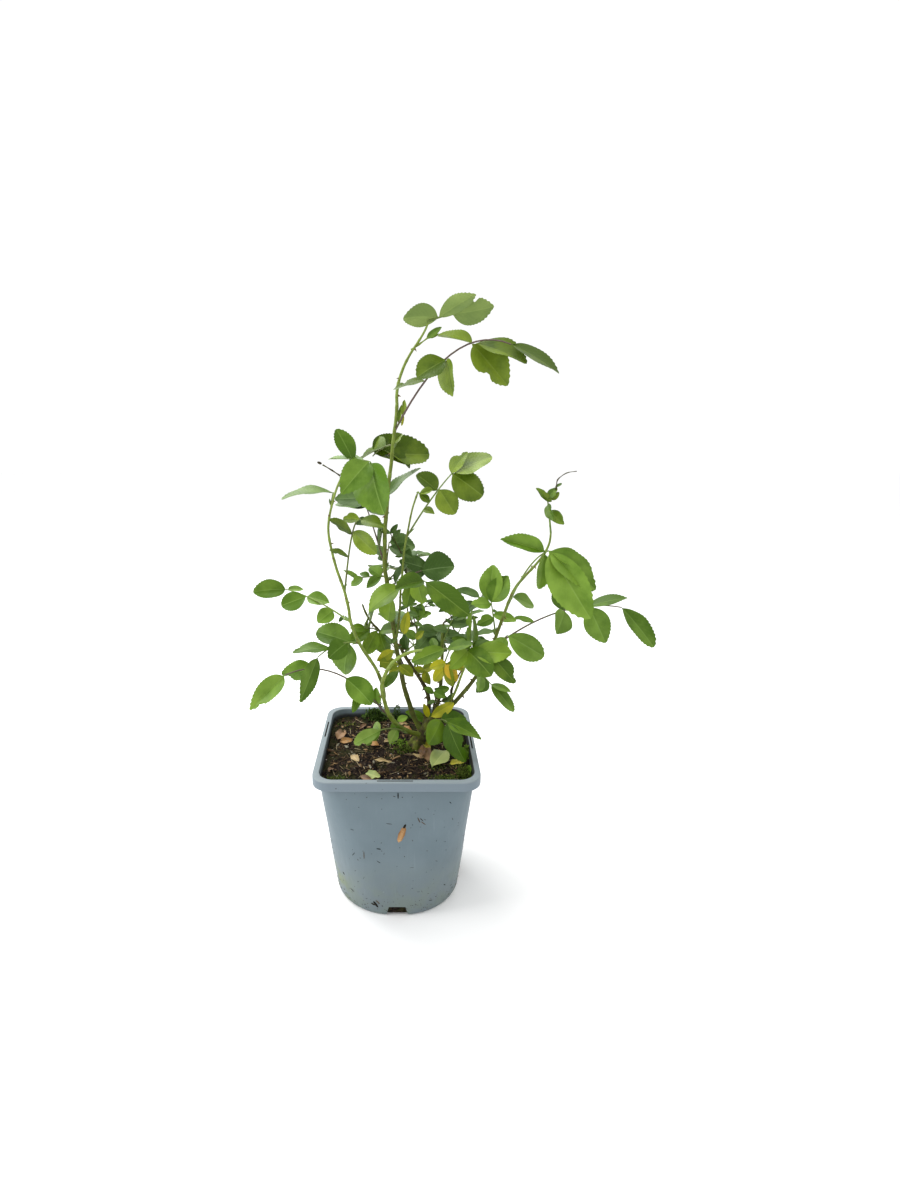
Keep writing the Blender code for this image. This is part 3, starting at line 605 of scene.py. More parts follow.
# %% Tubes
def tube(path, radius, sides, turn=0.0):
    """A closed tapering tube along a path, and its UV in mm around and along.

    Each ring is centre + radius (cos a side + sin a other); side is one fixed direction made
    square to the path, and radius may differ point by point.
    """
    path = np.asarray(path, float)
    forward = unit(np.gradient(path, axis=0))
    fixed = np.eye(3)[np.argmin(np.abs(forward).mean(axis=0))]
    side = unit(fixed - forward * (forward @ fixed)[:, None])
    other = np.cross(forward, side)
    angle = turn + np.arange(sides) * 2 * math.pi / sides
    radius = np.asarray(radius, float)
    radius = np.broadcast_to(radius[:, None] if radius.ndim == 1 else radius, (len(path), sides))
    ring = np.cos(angle)[None, :, None] * side[:, None] + np.sin(angle)[None, :, None] * other[:, None]
    rows = path[:, None] + radius[..., None] * ring
    points = np.concatenate([rows.reshape(-1, 3), path[:1], path[-1:]])
    around = np.abs(angle - math.pi)[None] * radius
    along = np.broadcast_to(lengths_along(path)[:, None], around.shape)
    uv = np.stack([around, along], axis=-1).reshape(-1, 2)
    return points, closed_faces(len(path), sides), np.concatenate([uv, uv[:1], uv[-1:]])


# %% Compost
SOIL_TOP, SOIL_FOOT = 190.0, FLOOR_THICK + 0.3
SOIL_INSET = WALL + 0.5
SOIL_ROWS = 84


def soil_height(x, y):
    """Height of the compost: lumps, crumbs and grains on a bed that rises a little to the back."""
    lump = 2.2 * lumps(x + 500, y + 500, 24.0, 5)
    crumb = 1.5 * lumps(x + 500, y + 500, 6.5, 6) + 1.0 * np.abs(lumps(x + 500, y + 500, 3.1, 7))
    grain = 0.7 * lumps(x + 500, y + 500, 1.5, 8)
    edge = np.maximum(np.abs(x), np.abs(y))
    slope = 1.8 * np.clip(y / 90, -1, 1)
    return SOIL_TOP + slope + lump + crumb + grain - 1.0 * np.clip((edge - 84) / 8, 0, 1)


def make_soil_finish():
    """Damp, nearly black brown with lighter crumbs and pale grains, and moss in a few places."""
    material, tree = new_finish("compost", roughness=0.9, Specular_IOR_Level=0.04)
    damp = blend(tree, blotches(tree, 0.0028, 0.8), (0.004, 0.003, 0.003), (0.04, 0.027, 0.018))
    colour = coats(tree, damp, ((0.01, 0.008, 0.009), blotches(tree, 0.025, 0.6), 0.5),
                   ((0.034, 0.044, 0.01), ramp(tree, blotches(tree, 0.018, 0.85), 0.55, 0.95), 0.32),
                   ((0.15, 0.098, 0.052), specks(tree, 0.0042, 0.17, 0.14)),
                   ((0.62, 0.58, 0.5), specks(tree, 0.0085, 0.075, 0.45)))
    return painted(material, colour, (noise(tree, object_place(tree), 900.0, 5.0), 0.8, 0.0012))


def make_soil():
    inner = [body_level(height, SOIL_INSET) for height in (SOIL_FOOT, 60.0, 120.0, SOIL_TOP - 6)]
    skirt = square_levels([body_level(SOIL_FOOT, SOIL_INSET + 6), *inner])
    edge = square_levels([body_level(SOIL_TOP, SOIL_INSET)])[0]
    share = np.linspace(1.0, 0.0, SOIL_ROWS + 1)[:-1, None, None]
    top = edge[None] * np.concatenate([share, share, np.ones_like(share)], axis=-1)
    top[..., 2] = soil_height(top[..., 0], top[..., 1])
    rows = np.concatenate([skirt, top])
    centre = np.array([(0, 0, SOIL_FOOT), (0, 0, soil_height(0.0, 0.0))])
    points = np.concatenate([rows.reshape(-1, 3), centre])
    faces = closed_faces(len(rows), RING_COUNT)
    make_piece("compost_bed", points, faces, [make_soil_finish()], ["soil"])


make_soil()

# %% Bark chips and fibres
CHIP_COUNT = 1800
FIBRE_COUNT = 560
FLAKE_SIDES = 6
BED_HALF = 88.0


def litter_finish(name, dark, light, roughness=0.85):
    """Woody litter: two tones chosen bit by bit, mottled with the dark one."""
    material, tree = new_finish(name, roughness=roughness, Specular_IOR_Level=0.1)
    mottle = blotches(tree, 0.0015, 0.5)
    colour = coats(tree, blend(tree, tone_of(tree), dark, light), (dark, mottle, 0.5))
    return painted(material, colour, (mottle, 0.4, 0.0003))


def litter_finishes(**tones):
    """A litter finish for each name, from its dark and its light tone."""
    return [litter_finish(name, *pair) for name, pair in tones.items()]


def turn_matrix(heading, pitch, roll):
    """Rotation matrices from heading, pitch and roll in radians, for whole arrays of angles."""
    ch, sh, cp, sp, cr, sr = (f(a) for a in (heading, pitch, roll) for f in (np.cos, np.sin))
    rows = [[ch * cp, ch * sp * sr - sh * cr, ch * sp * cr + sh * sr],
            [sh * cp, sh * sp * sr + ch * cr, sh * sp * cr - ch * sr],
            [-sp, cp * sr, cp * cr]]
    return np.moveaxis(np.array(rows), -1, 0)


def scatter(rng, count):
    """Places on the compost, kept a little off the wall."""
    x, y = rng.uniform(-BED_HALF, BED_HALF, (2, count))
    outside = (np.abs(x) > 68) & (np.abs(y) > 68) & (np.hypot(np.abs(x) - 68, np.abs(y) - 68) > 19)
    x, y = np.where(outside, x * 0.7, x), np.where(outside, y * 0.7, y)
    return x, y


def make_chips():
    """Flakes: a six-cornered outline whose radius wanders, drawn out lengthwise, two sides thick."""
    rng = np.random.default_rng(21)
    x, y = scatter(rng, CHIP_COUNT)
    length = rng.gamma(2.0, 1.9, CHIP_COUNT).clip(1.6, 14.0)
    wide = length * rng.uniform(0.16, 0.48, CHIP_COUNT)
    thick = rng.uniform(0.3, 1.0, CHIP_COUNT) * np.sqrt(length / 4)
    angle = np.arange(FLAKE_SIDES) * 2 * math.pi / FLAKE_SIDES
    wander = rng.uniform(0.65, 1.15, (CHIP_COUNT, FLAKE_SIDES))
    flat = np.stack([np.cos(angle) * wander * length[:, None] / 2,
                     np.sin(angle) * wander * wide[:, None] / 2], axis=-1)
    level = np.zeros_like(flat[..., :1])
    low = np.concatenate([flat, level], axis=-1)
    high = np.concatenate([flat * 0.82, level + thick[:, None, None]], axis=-1)
    shape = np.concatenate([low, high], axis=1)
    turn = turn_matrix(rng.uniform(0, 2 * math.pi, CHIP_COUNT),
                       rng.normal(0, 0.4, CHIP_COUNT), rng.normal(0, 0.5, CHIP_COUNT))
    place = np.stack([x, y, soil_height(x, y) - 0.1], axis=-1)
    flakes = np.einsum("nij,nkj->nki", turn, shape) + place[:, None]
    ring = np.arange(FLAKE_SIDES)
    faces = grid_faces(2, FLAKE_SIDES).tolist() + [ring[::-1].tolist(), (ring + FLAKE_SIDES).tolist()]
    kinds = rng.choice(4, CHIP_COUNT, p=(0.42, 0.26, 0.23, 0.09))
    pile = Pile()
    for flake, kind, tone in zip(flakes, kinds, rng.uniform(0, 1, CHIP_COUNT)):
        pile.add(flake, faces, finish=kind, tone=tone)
    finishes = litter_finishes(chip_dark=((0.004, 0.003, 0.003), (0.022, 0.015, 0.011)),
                               chip_brown=((0.03, 0.018, 0.01), (0.085, 0.05, 0.026)),
                               chip_tan=((0.13, 0.078, 0.036), (0.4, 0.26, 0.13)),
                               chip_grey=((0.1, 0.094, 0.066), (0.3, 0.28, 0.21)))
    pile.piece("bark_chips", finishes, "compost", crease=30)


def make_fibres():
    """Strands: a bowed line of a few steps, thicker in the middle."""
    rng = np.random.default_rng(22)
    pile = Pile()
    x, y = scatter(rng, FIBRE_COUNT)
    share = np.linspace(-0.5, 0.5, 6)
    for number in range(FIBRE_COUNT):
        length, heading = rng.uniform(4, 17), rng.uniform(0, 2 * math.pi)
        bow, lift = rng.normal(0, 0.14), rng.normal(0, 0.1)
        along = np.stack([share, bow * (0.25 - 4 * share ** 2 * 0.25), np.zeros(6)], axis=-1) * length
        turned = along @ turn_matrix(np.array([heading]), np.array([lift]), np.zeros(1))[0].T
        foot = turned + (x[number] * 0.92, y[number] * 0.92, 0)
        foot[:, 2] += soil_height(foot[:, 0], foot[:, 1]).max() + 0.3
        radius = rng.uniform(0.16, 0.42) * np.array([0.5, 0.9, 1.0, 1.0, 0.8, 0.3])
        pile.add(*tube(foot, radius, 4), finish=int(rng.choice(3, p=(0.45, 0.35, 0.2))), tone=rng.uniform())
    finishes = litter_finishes(fibre_dark=((0.01, 0.008, 0.006), (0.05, 0.036, 0.022)),
                               fibre_brown=((0.08, 0.054, 0.028), (0.19, 0.13, 0.07)),
                               fibre_straw=((0.28, 0.22, 0.12), (0.52, 0.43, 0.27)))
    pile.piece("bark_fibres", finishes, "compost")


make_chips()
make_fibres()

# %% [markdown]
# The plant grows again here by the rule of its solids.  A limb is a cubic curve
# that starts on its parent, and a table names three more points for each.  A
# mass of leaves is one stem with leaflets, each told by its place on the stem,
# its heading and rise, its length, its shape and the tilt of its upper face.
# A leaflet that would touch a limb or an earlier mass swings aside a little,
# and is left out where no swing frees it.  The test is made with the plain
# folded leaflet of the solids, so leaves come out where the solids have them.

# %% The limbs' table
GAP = 0.3
STUMP = ((26, 9, 188.3), (27, 9, 202), (38, 14, 210), (46, 20, 224))
STUMP_RADII = (9.0, 6.5)

# name: parent, place on it, three more points of the cubic, foot and tip radius
CANES = {
    "tall_low": ("stump", 0.6, (4, 26, 248), (-7, 20, 373), (-15, 20, 431), 3.4, 2.6),
    "tall_mid": ("tall_low", 1, (-16, 20, 496), (-4, 20, 566), (1, 20, 622), 2.6, 1.9),
    "tall_top": ("tall_mid", 1, (-1, 20, 667), (25, 20, 680), (36, 20, 709), 1.9, 1.1),
    "arch_low": ("stump", 0.42, (-8, -18, 230), (-15, -30, 261), (-18, -36, 294), 3.0, 2.4),
    "arch_out": ("arch_low", 1, (-13, -46, 332), (9, -62, 353), (37, -80, 359), 2.4, 1.5),
    "left_low": ("arch_low", 0.86, (-17, -26, 321), (-56, -22, 342), (-56, -22, 386), 2.2, 1.9),
    "left_top": ("left_low", 1, (-69, -24, 457), (-96, -34, 479), (-52, -42, 558), 1.9, 1.1),
    "dark": ("stump", 0.8, (57, 40, 257), (17, 50, 278), (5, 56, 309), 3.0, 2.2),
    "back_left": ("dark", 1, (-12, 62, 322), (-38, 70, 334), (-48, 76, 366), 2.2, 1.3),
    "centre": ("stump", 1, (63, 28, 263), (56, 44, 298), (61, 54, 346), 2.8, 2.0),
    "right_low": ("stump", 0.8, (71, 8, 250), (94, 4, 276), (106, 0, 306), 3.0, 2.3),
    "right_mid": ("right_low", 1, (121, -8, 336), (126, -14, 375), (135, -20, 402), 2.3, 1.8),
    "right_top": ("right_mid", 1, (143, -27, 435), (175, -38, 449), (172, -45, 485), 1.8, 1.2),
    "mid_shoot": ("tall_low", 0.6, (7, 8, 386), (2, 10, 456), (25, 12, 522), 1.6, 1.0),
    "upright": ("right_low", 0.2, (75, -4, 269), (81, -10, 302), (87, -14, 324), 1.9, 1.3),
}
print(len(CANES), "pieces of cane")

# %% The tables of leaves
# Shapes of leaflet: width as a share of the length.
ROUND, BROAD, OVAL, SLIM, NARROW = 0.92, 0.78, 0.66, 0.52, 0.4

# name: limb, place on it, tip of the stem, its rise at mid-length, leaflets as
# (place on the stem, heading, rise, length, width share, tilt towards -Y)
SPRAYS = {
    "top": ("tall_top", 1, (62, 22, 717), 2, (
        (0.45, -155, 5, 41, OVAL, -60), (0.42, -35, 26, 53, NARROW, -50), (1, 10, 10, 48, OVAL, -60))),
    "upper_right": ("tall_mid", 0.85, (119, -45, 680), 70, (
        (1, -17, -24, 58, SLIM, 30), (0.68, -13, -45, 57, BROAD, 55), (0.71, -30, -16, 61, SLIM, 35),
        (0.69, 171, 19, 39, BROAD, 30), (0.46, -158, -25, 39, BROAD, 50), (0.47, -87, -66, 42, BROAD, 65),
        (0.28, 180, -8, 38, SLIM, 25), (0.07, 93, 85, 18, NARROW, 10))),
    "whorl_back": ("tall_mid", 0.74, (-29, 45, 562), 6, (
        (0.24, 140, -15, 46, BROAD, 35), (0.54, -5, -25, 42, OVAL, 30), (0.88, -5, 0, 69, OVAL, 35),
        (0.92, 15, 42, 38, BROAD, 60), (0.06, 1, 33, 22, BROAD, 45))),
    "whorl_front": ("left_top", 1, (-26, -62, 563), 6, (
        (1, -75, -60, 57, ROUND, 55), (0.93, -130, -31, 48, OVAL, 35), (0.76, 150, 5, 48, NARROW, 10),
        (0.27, 178, 67, 39, SLIM, 60))),
    "back_high": ("tall_mid", 0.42, (-31, 55, 511), 4, (
        (0.1, 10, 45, 56, NARROW, 30), (1, -179, -1, 48, OVAL, 40), (0.8, 171, 39, 29, BROAD, 50),
        (0.6, -19, -58, 22, OVAL, 40))),
    "left_long": ("left_top", 0.78, (-71, -20, 526), 2, (
        (1, -155, 10, 58, SLIM, 15),)),
    "dark_upper": ("tall_mid", 0.03, (-38, 50, 499), 4, (
        (1, -175, 10, 42, OVAL, 30), (0.95, 0, -5, 28, OVAL, 25), (0.69, -120, 5, 30, OVAL, 30),
        (1, 170, 40, 23, SLIM, 20), (0.2, -26, 86, 34, BROAD, 50))),
    "left_inner": ("left_top", 0.14, (-38, -50, 500), 50, (
        (0.5, -167, 44, 31, OVAL, 25), (0.55, -49, -25, 42, SLIM, 50), (0.95, -177, 11, 19, BROAD, 30),
        (1, -31, -4, 30, OVAL, 35), (0.25, 177, 35, 24, SLIM, 20))),
    "mid_left_small": ("tall_low", 0.93, (-50, 42, 410), 2, (
        (1, 177, 34, 22, NARROW, 30), (0.8, -161, -29, 19, BROAD, 40), (0.55, 160, 17, 15, OVAL, 40),
        (0.1, 152, 31, 21, BROAD, 45), (0.1, -158, -29, 24, OVAL, 40))),
    "dark_mid": ("tall_low", 0.98, (-10, 46, 456), 2, (
        (1, 9, -5, 35, BROAD, 45), (0.8, -29, -10, 34, OVAL, 35), (0.51, 180, 20, 32, OVAL, 35),
        (0.3, 158, 14, 14, OVAL, 40))),
    "shoot_leaf": ("mid_shoot", 0.75, (67, 28, 544), 8, (
        (0.66, 175, 40, 32, BROAD, 50), (0.69, -31, -52, 36, BROAD, 55), (0.97, -1, 62, 32, OVAL, 45),
        (1, -6, 26, 50, BROAD, 40), (0.98, -12, -31, 46, BROAD, 55), (0.36, -50, -5, 17, OVAL, 40))),
    "shoot_tip": ("mid_shoot", 1, (27, 6, 521), 2, (
        (1, -20, 20, 17, OVAL, 40), (1, -25, -30, 16, OVAL, 40))),
    "dark_pair": ("tall_low", 0.86, (41, 62, 417), 8, (
        (1, -165, 22, 42, BROAD, 60), (0.8, -19, 15, 43, ROUND, 60), (0.47, -100, 50, 25, OVAL, 45),
        (0.12, -43, 61, 32, BROAD, 50))),
    "bright_centre": ("tall_low", 0.8, (32, -60, 433), 20, (
        (1, -145, 5, 38, OVAL, 45), (1, -35, -24, 61, SLIM, 45), (0.34, -170, -30, 50, OVAL, 45),
        (0.66, -115, -70, 32, OVAL, 45), (0.05, -173, -78, 34, BROAD, 50), (0.8, -65, -76, 29, BROAD, 55))),
    "upright_right": ("right_mid", 0.45, (118, 20, 384), 4, (
        (1, 100, 75, 48, OVAL, 10), (1, 13, 62, 40, BROAD, 55), (0.97, -151, 11, 28, OVAL, 40),
        (0.6, -19, -10, 30, SLIM, 35), (0.5, -151, -9, 24, OVAL, 45), (0.7, 34, -13, 10, OVAL, 40))),
    "narrow_back": ("centre", 1, (111, 80, 373), 2, (
        (1, 170, 20, 36, SLIM, 20), (0.85, -130, -15, 32, SLIM, 25), (1, -15, 30, 30, SLIM, 30))),
    "right_tip": ("right_top", 1, (166, -45, 523), 2, (
        (0.59, -60, -20, 26, SLIM, 45), (0.81, -90, -35, 25, SLIM, 60), (0.95, -170, 45, 19, SLIM, 50),
        (0.97, 0, 60, 16, OVAL, 50))),
    "glossy_right": ("right_mid", 0.93, (165, -72, 470), 24, (
        (0.93, 173, 19, 51, SLIM, 50), (1, -40, -50, 85, SLIM, 50), (1, -24, -31, 65, SLIM, 40),
        (0.9, -112, -74, 40, OVAL, 60), (1, 2, -24, 60, SLIM, 40), (0.08, 41, -24, 41, SLIM, 45))),
    "right_long": ("right_mid", 0.3, (285, 30, 375), 40, (
        (0.31, 174, 14, 26, NARROW, 30), (0.54, 135, 60, 30, OVAL, 30), (0.54, -116, -38, 35, ROUND, 55),
        (0.73, -48, -53, 50, OVAL, 55), (0.73, -15, 25, 48, SLIM, 25), (1, -41, -38, 63, NARROW, 35))),
    "right_low_leaf": ("right_mid", 0.22, (130, -40, 362), 2, (
        (1, -20, -22, 49, OVAL, 50), (0.9, -130, -35, 26, OVAL, 35))),
    "left_high": ("left_low", 0.9, (-142, 40, 396), 10, (
        (1, -147, 10, 42, OVAL, 50), (0.97, 35, -2, 23, SLIM, 25), (0.66, -161, -14, 33, BROAD, 45),
        (0.66, -19, -7, 32, OVAL, 40), (0.24, -130, -16, 26, BROAD, 50))),
    "left_mid": ("left_low", 0.66, (-92, -48, 338), 14, (
        (1, -120, -47, 55, NARROW, 45), (0.68, -149, 11, 45, SLIM, 20), (0.16, 168, 19, 46, OVAL, 35),
        (0.27, -128, -12, 31, BROAD, 50), (0.2, -175, -73, 43, ROUND, 65))),
    "left_low": ("arch_low", 0.55, (-129, -62, 321), 58, (
        (1, -142, -33, 55, SLIM, 40), (0.72, -159, -1, 39, OVAL, 35), (0.1, 111, 73, 22, OVAL, 30),
        (0.42, -32, -27, 45, OVAL, 50), (0.25, -117, -34, 30, NARROW, 30), (0.2, 77, 50, 14, BROAD, 40))),
    "arch_tip": ("arch_out", 1, (102, -105, 363), 8, (
        (1, -30, -40, 40, SLIM, 45), (0.73, -26, 3, 42, OVAL, 40), (0.61, -50, -20, 42, BROAD, 55),
        (0.29, -40, 25, 36, SLIM, 30), (0.27, -168, -14, 40, SLIM, 35), (0.12, 115, 50, 15, OVAL, 50),
        (0.64, -140, -25, 30, OVAL, 40))),
    "centre_left": ("back_left", 0.5, (-41, 35, 345), 4, (
        (1, -153, 17, 21, OVAL, 45), (0.92, -80, 65, 32, OVAL, 60), (0.64, -145, -20, 34, OVAL, 45),
        (0.19, -140, -55, 36, OVAL, 55), (0, -35, 20, 32, OVAL, 40), (0, -59, -63, 33, BROAD, 50),
        (0.7, -65, 74, 29, BROAD, 50))),
    "twig_left": ("dark", 0.7, (27, 50, 356), 2, (
        (1, -163, 56, 19, SLIM, 50), (1, -17, 23, 19, SLIM, 50), (0.9, 31, 83, 25, OVAL, 50),
        (0.55, 172, 38, 20, OVAL, 50))),
    "centre_back": ("dark", 0.94, (54, 70, 327), 6, (
        (1, -171, 15, 29, BROAD, 50), (1, -50, -5, 36, OVAL, 50), (0.71, -130, -10, 36, OVAL, 50),
        (0.58, -15, -25, 36, OVAL, 45), (0.05, 109, 65, 25, BROAD, 50))),
    "upright_centre": ("upright", 1, (92, -18, 338), 2, (
        (0.78, 100, 70, 49, NARROW, 85), (0.92, 55, 60, 42, NARROW, 80), (0.68, -160, 40, 30, OVAL, 40),
        (0.68, -30, 30, 32, OVAL, 40))),
    "right_low": ("right_low", 0.9, (123, 30, 269), 2, (
        (1, -30, -5, 28, NARROW, 20), (1, -35, -36, 46, NARROW, 30), (0.49, -122, -39, 24, ROUND, 60),
        (0.1, -127, -51, 24, BROAD, 55))),
    "yellow_inner": ("centre", 0.45, (62, 0, 311), 2, (
        (1, -60, -60, 30, SLIM, 60), (1, -10, -15, 25, SLIM, 40), (1, -176, -6, 22, OVAL, 50),
        (0.64, -167, -40, 22, OVAL, 45), (0.3, -19, -13, 17, OVAL, 50))),
    "low_front": ("stump", 0.55, (62, -30, 245), 20, (
        (0.73, -115, -35, 36, ROUND, 55), (1, -19, -13, 47, SLIM, 35), (1, -60, -50, 53, SLIM, 45),
        (0.71, 10, 5, 34, OVAL, 30))),
    "inner_left": ("tall_low", 0.4, (2, -8, 312), 4, (
        (1, -161, 22, 25, OVAL, 45), (0.9, -20, -30, 23, OVAL, 50), (0.5, 175, -40, 19, OVAL, 50))),
    "inner_right": ("centre", 0.16, (46, -8, 275), 2, (
        (1, -32, -6, 17, OVAL, 50), (0.9, -166, 36, 15, OVAL, 50), (0.8, 7, 27, 21, SLIM, 50))),
    "twig_right": ("centre", 0.85, (72, 50, 352), 2, (
        (1, 11, 28, 24, OVAL, 60), (0.4, 179, 20, 21, OVAL, 50), (0.7, -12, 14, 30, OVAL, 50),
        (0.2, -11, 10, 19, OVAL, 50))),
    "dark_inner": ("dark", 0.62, (35, 28, 289), 2, (
        (1, -151, 22, 15, OVAL, 50), (1, -48, -58, 20, OVAL, 50), (0.6, -17, 35, 22, OVAL, 50))),
    "low_back": ("stump", 0.75, (41, 40, 209), 4, (
        (1, 165, 25, 34, SLIM, 45), (0.92, 85, 65, 19, SLIM, 40), (0.95, 15, 35, 28, SLIM, 40))),
    "low_left": ("arch_low", 0.16, (-20, -44, 241), 8, (
        (1, -160, -20, 36, SLIM, 40), (1, -155, -35, 25, OVAL, 40), (1, 120, 10, 19, OVAL, 35),
        (0.37, -140, -50, 21, OVAL, 35), (0.27, 105, 20, 23, OVAL, 35))),
}

# Side shoots by rule: limb, place on it, heading, rise, length, number of
# compound leaves, length of their end leaflets
SHOOTS = {
    "back_tall": ("tall_low", 0.9, 60, 10, 45, 2, 24),
    "back_dark": ("dark", 0.6, 100, 35, 60, 3, 28),
    "back_centre": ("centre", 0.55, 65, 30, 60, 3, 29),
}
print(len(SPRAYS), "sprays placed one by one,", len(SHOOTS), "by rule")


# %% Directions and limbs
UP = np.array([0.0, 0.0, 1.0])


def direction(heading, rise):
    """Unit vector; heading anticlockwise from +X seen from above, rise above level."""
    turn, lift = math.radians(heading), math.radians(rise)
    return np.array([math.cos(turn) * math.cos(lift), math.sin(turn) * math.cos(lift), math.sin(lift)])


class Limb:
    """The stump or a cane: a cubic curve through the weights of its four points, and its radius."""

    def __init__(self, points, foot, tip):
        self.points, self.foot, self.tip = np.array(points, float), foot, tip

    def at(self, share):
        rest = 1 - share
        weights = np.stack([rest ** 3, 3 * rest ** 2 * share, 3 * rest * share ** 2, share ** 3], axis=-1)
        return weights @ self.points

    def heading(self, share):
        return unit(self.at(min(share + 0.02, 1.0)) - self.at(max(share - 0.02, 0.0)))

    def radius(self, share):
        return self.foot + (self.tip - self.foot) * share

    def length(self):
        return lengths_along(self.at(np.linspace(0, 1, 40)))[-1]

    def seat(self, share, target):
        """Where a branch starts just clear of this limb."""
        centre, axis = self.at(share), self.heading(share)
        if share >= 1:
            return centre + axis * GAP
        out = target - centre
        out = unit(out - axis * np.dot(out, axis))
        return centre + out * (self.radius(share) + GAP)


LIMBS = {"stump": Limb(STUMP, *STUMP_RADII)}
for name, (parent, share, second, third, last, foot, tip) in CANES.items():
    start = LIMBS[parent].seat(share, np.array(second, float))
    LIMBS[name] = Limb((start, second, third, last), foot, tip)
print("limbs:", {name: round(limb.length()) for name, limb in LIMBS.items()}, "mm long")

# %% The rule that places leaflets
STEM_STEPS, SHOOT_STEPS, SHOOT_ARCH = 5, 3, 0.12
STEM_TIP = 0.7
STEM_SIDES = 3
PLAIN_THICK = 1.2
LONG_LEAF = ((0.34, 0.96), (0.72, 0.84))
SHORT_LEAF = ((0.5, 1.0),)
LEAF_FOLD, LEAF_CURL = 14.0, 0.1
PETIOLE, LEAF_SPREAD, WANDER, SEED = 1.5, 62.0, 12.0, 11
LEAFY_SHARE = 0.8            # share of a shoot, from its tip down, that bears leaves
PAIR_PLACES, PAIR_SIZES = (0.78, 0.5), (0.95, 0.8)
SWINGS = ((0, 0), (15, 0), (-15, 0), (0, 15), (0, -15), (30, 10), (-30, 10), (30, -15), (-30, -15))


def node_tree(name):
    """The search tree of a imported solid, in mm."""
    mesh = CAD_NODES[name].data
    points = np.empty(len(mesh.vertices) * 3, np.float32)
    mesh.vertices.foreach_get("co", points)
    faces = [tuple(face.vertices) for face in mesh.polygons]
    return BVHTree.FromPolygons((points.reshape(-1, 3) / MM).tolist(), faces)


def plain_leaflet(base, along, normal, length, wide, stations):
    """The search tree of a leaflet of the solids: folded halves that curl down to the tip."""
    across = np.cross(normal, along)
    fold = math.radians(LEAF_FOLD)
    points = [base]
    for share, fullness in stations:
        half = 0.5 * length * wide * fullness
        rib = base + along * length * share - normal * LEAF_CURL * length * share ** 2
        edge, lift = across * half * math.cos(fold), normal * half * math.sin(fold)
        thick = normal * 0.5 * PLAIN_THICK
        points += [rib - edge + lift, rib - thick, rib + edge + lift, rib + thick]
    points.append(base + along * length - normal * LEAF_CURL * length)
    ring, last = np.arange(4), len(points) - 5
    faces = [*fan_faces(ring + 1, 0, flip=True), *(grid_faces(len(stations), 4) + 1),
             *fan_faces(ring + last, last + 4)]
    return BVHTree.FromPolygons([tuple(point) for point in points], [face.tolist() for face in faces])


def blade_normal(along, tilt):
    """Upper normal of a leaflet, turned about its length to lean towards -Y by the tilt."""
    level = unit(UP - along * np.dot(UP, along))
    across = np.cross(along, level)
    angle = math.radians(tilt if across[1] < 0 else -tilt)
    return level * math.cos(angle) + across * math.sin(angle)


def bowed(start, end, arch, steps):
    """A stem's path: a quadratic whose middle point is lifted by the arch."""
    share = np.linspace(0, 1, steps + 1)[:, None]
    middle = (start + end) / 2 + UP * arch
    return (1 - share) ** 2 * start + 2 * (1 - share) * share * middle + share ** 2 * end


def point_on(path, place, along=None):
    """Point of a path, on its straight pieces: at a share of its steps, or at a length along it."""
    along = np.linspace(0, 1, len(path)) if along is None else along
    return np.array([np.interp(place, along, path[:, axis]) for axis in range(3)])


def grow_leaflets(stem, plan, taken, stations):
    """Leaflets as (base, along, normal, length, wide) that touch nothing that is taken."""
    kept = []
    for share, heading, rise, length, wide, tilt in plan:
        root = point_on(stem, share)
        for swing, lift in SWINGS:
            along = direction(heading + swing, rise + lift)
            normal = blade_normal(along, tilt)
            base = root - along * 0.5 * STEM_TIP
            solid = plain_leaflet(base, along, normal, length, wide, stations)
            if not any(solid.overlap(other) for other in taken):
                kept.append((root, along, normal, length, wide))
                break
    return kept


def grow_spray(entry, taken):
    """One compound leaf: its bowed stem and the leaflets placed one by one."""
    parent, share, tip, arch, plan = entry
    end = np.array(tip, float)
    start = LIMBS[parent].seat(share, end)
    leaflets = grow_leaflets(bowed(start, end, arch, STEM_STEPS), plan, taken, LONG_LEAF)
    return [(start, end, arch)], leaflets


def grow_shoot(name, entry, taken):
    """A side shoot: compound leaves of five leaflets on alternate sides, by seeded chance."""
    parent, share, heading, rise, length, count, size = entry
    rng = random.Random(f"{SEED} {name}")
    limb = LIMBS[parent]
    start = limb.seat(share, limb.at(share) + direction(heading, rise) / MM)
    end = start + direction(heading, rise) * length
    arch = SHOOT_ARCH * length
    stem = bowed(start, end, arch, SHOOT_STEPS)
    stems, leaflets = [(start, end, arch)], []
    for number in range(count):
        side = 0 if number == 0 else (1 if number % 2 else -1)
        turn = heading + side * LEAF_SPREAD + rng.uniform(-WANDER, WANDER)
        lift = rise + rng.uniform(-WANDER, WANDER)
        foot = point_on(stem, 1.0 - number * LEAFY_SHARE / count)
        reach = direction(turn, lift) * PETIOLE * size
        stalk = np.array([foot, foot + reach])
        points, faces, _ = tube(stalk, STEM_TIP, STEM_SIDES)
        solid = BVHTree.FromPolygons(points.tolist(), faces)
        if any(solid.overlap(other) for other in taken):
            continue
        plan = [(1.0, turn, lift - WANDER, size, BROAD, 0)]
        for pair, scale in zip(PAIR_PLACES, PAIR_SIZES):
            for hand in (1, -1):
                swing = turn + hand * LEAF_SPREAD + rng.uniform(-WANDER, WANDER)
                fall = lift - rng.uniform(0, 2 * WANDER)
                plan.append((pair, swing, fall, size * scale, BROAD, rng.uniform(-WANDER, WANDER)))
        stems.append((foot, foot + reach, 0.0))
        leaflets += grow_leaflets(stalk, plan, taken, SHORT_LEAF)
    return stems, leaflets


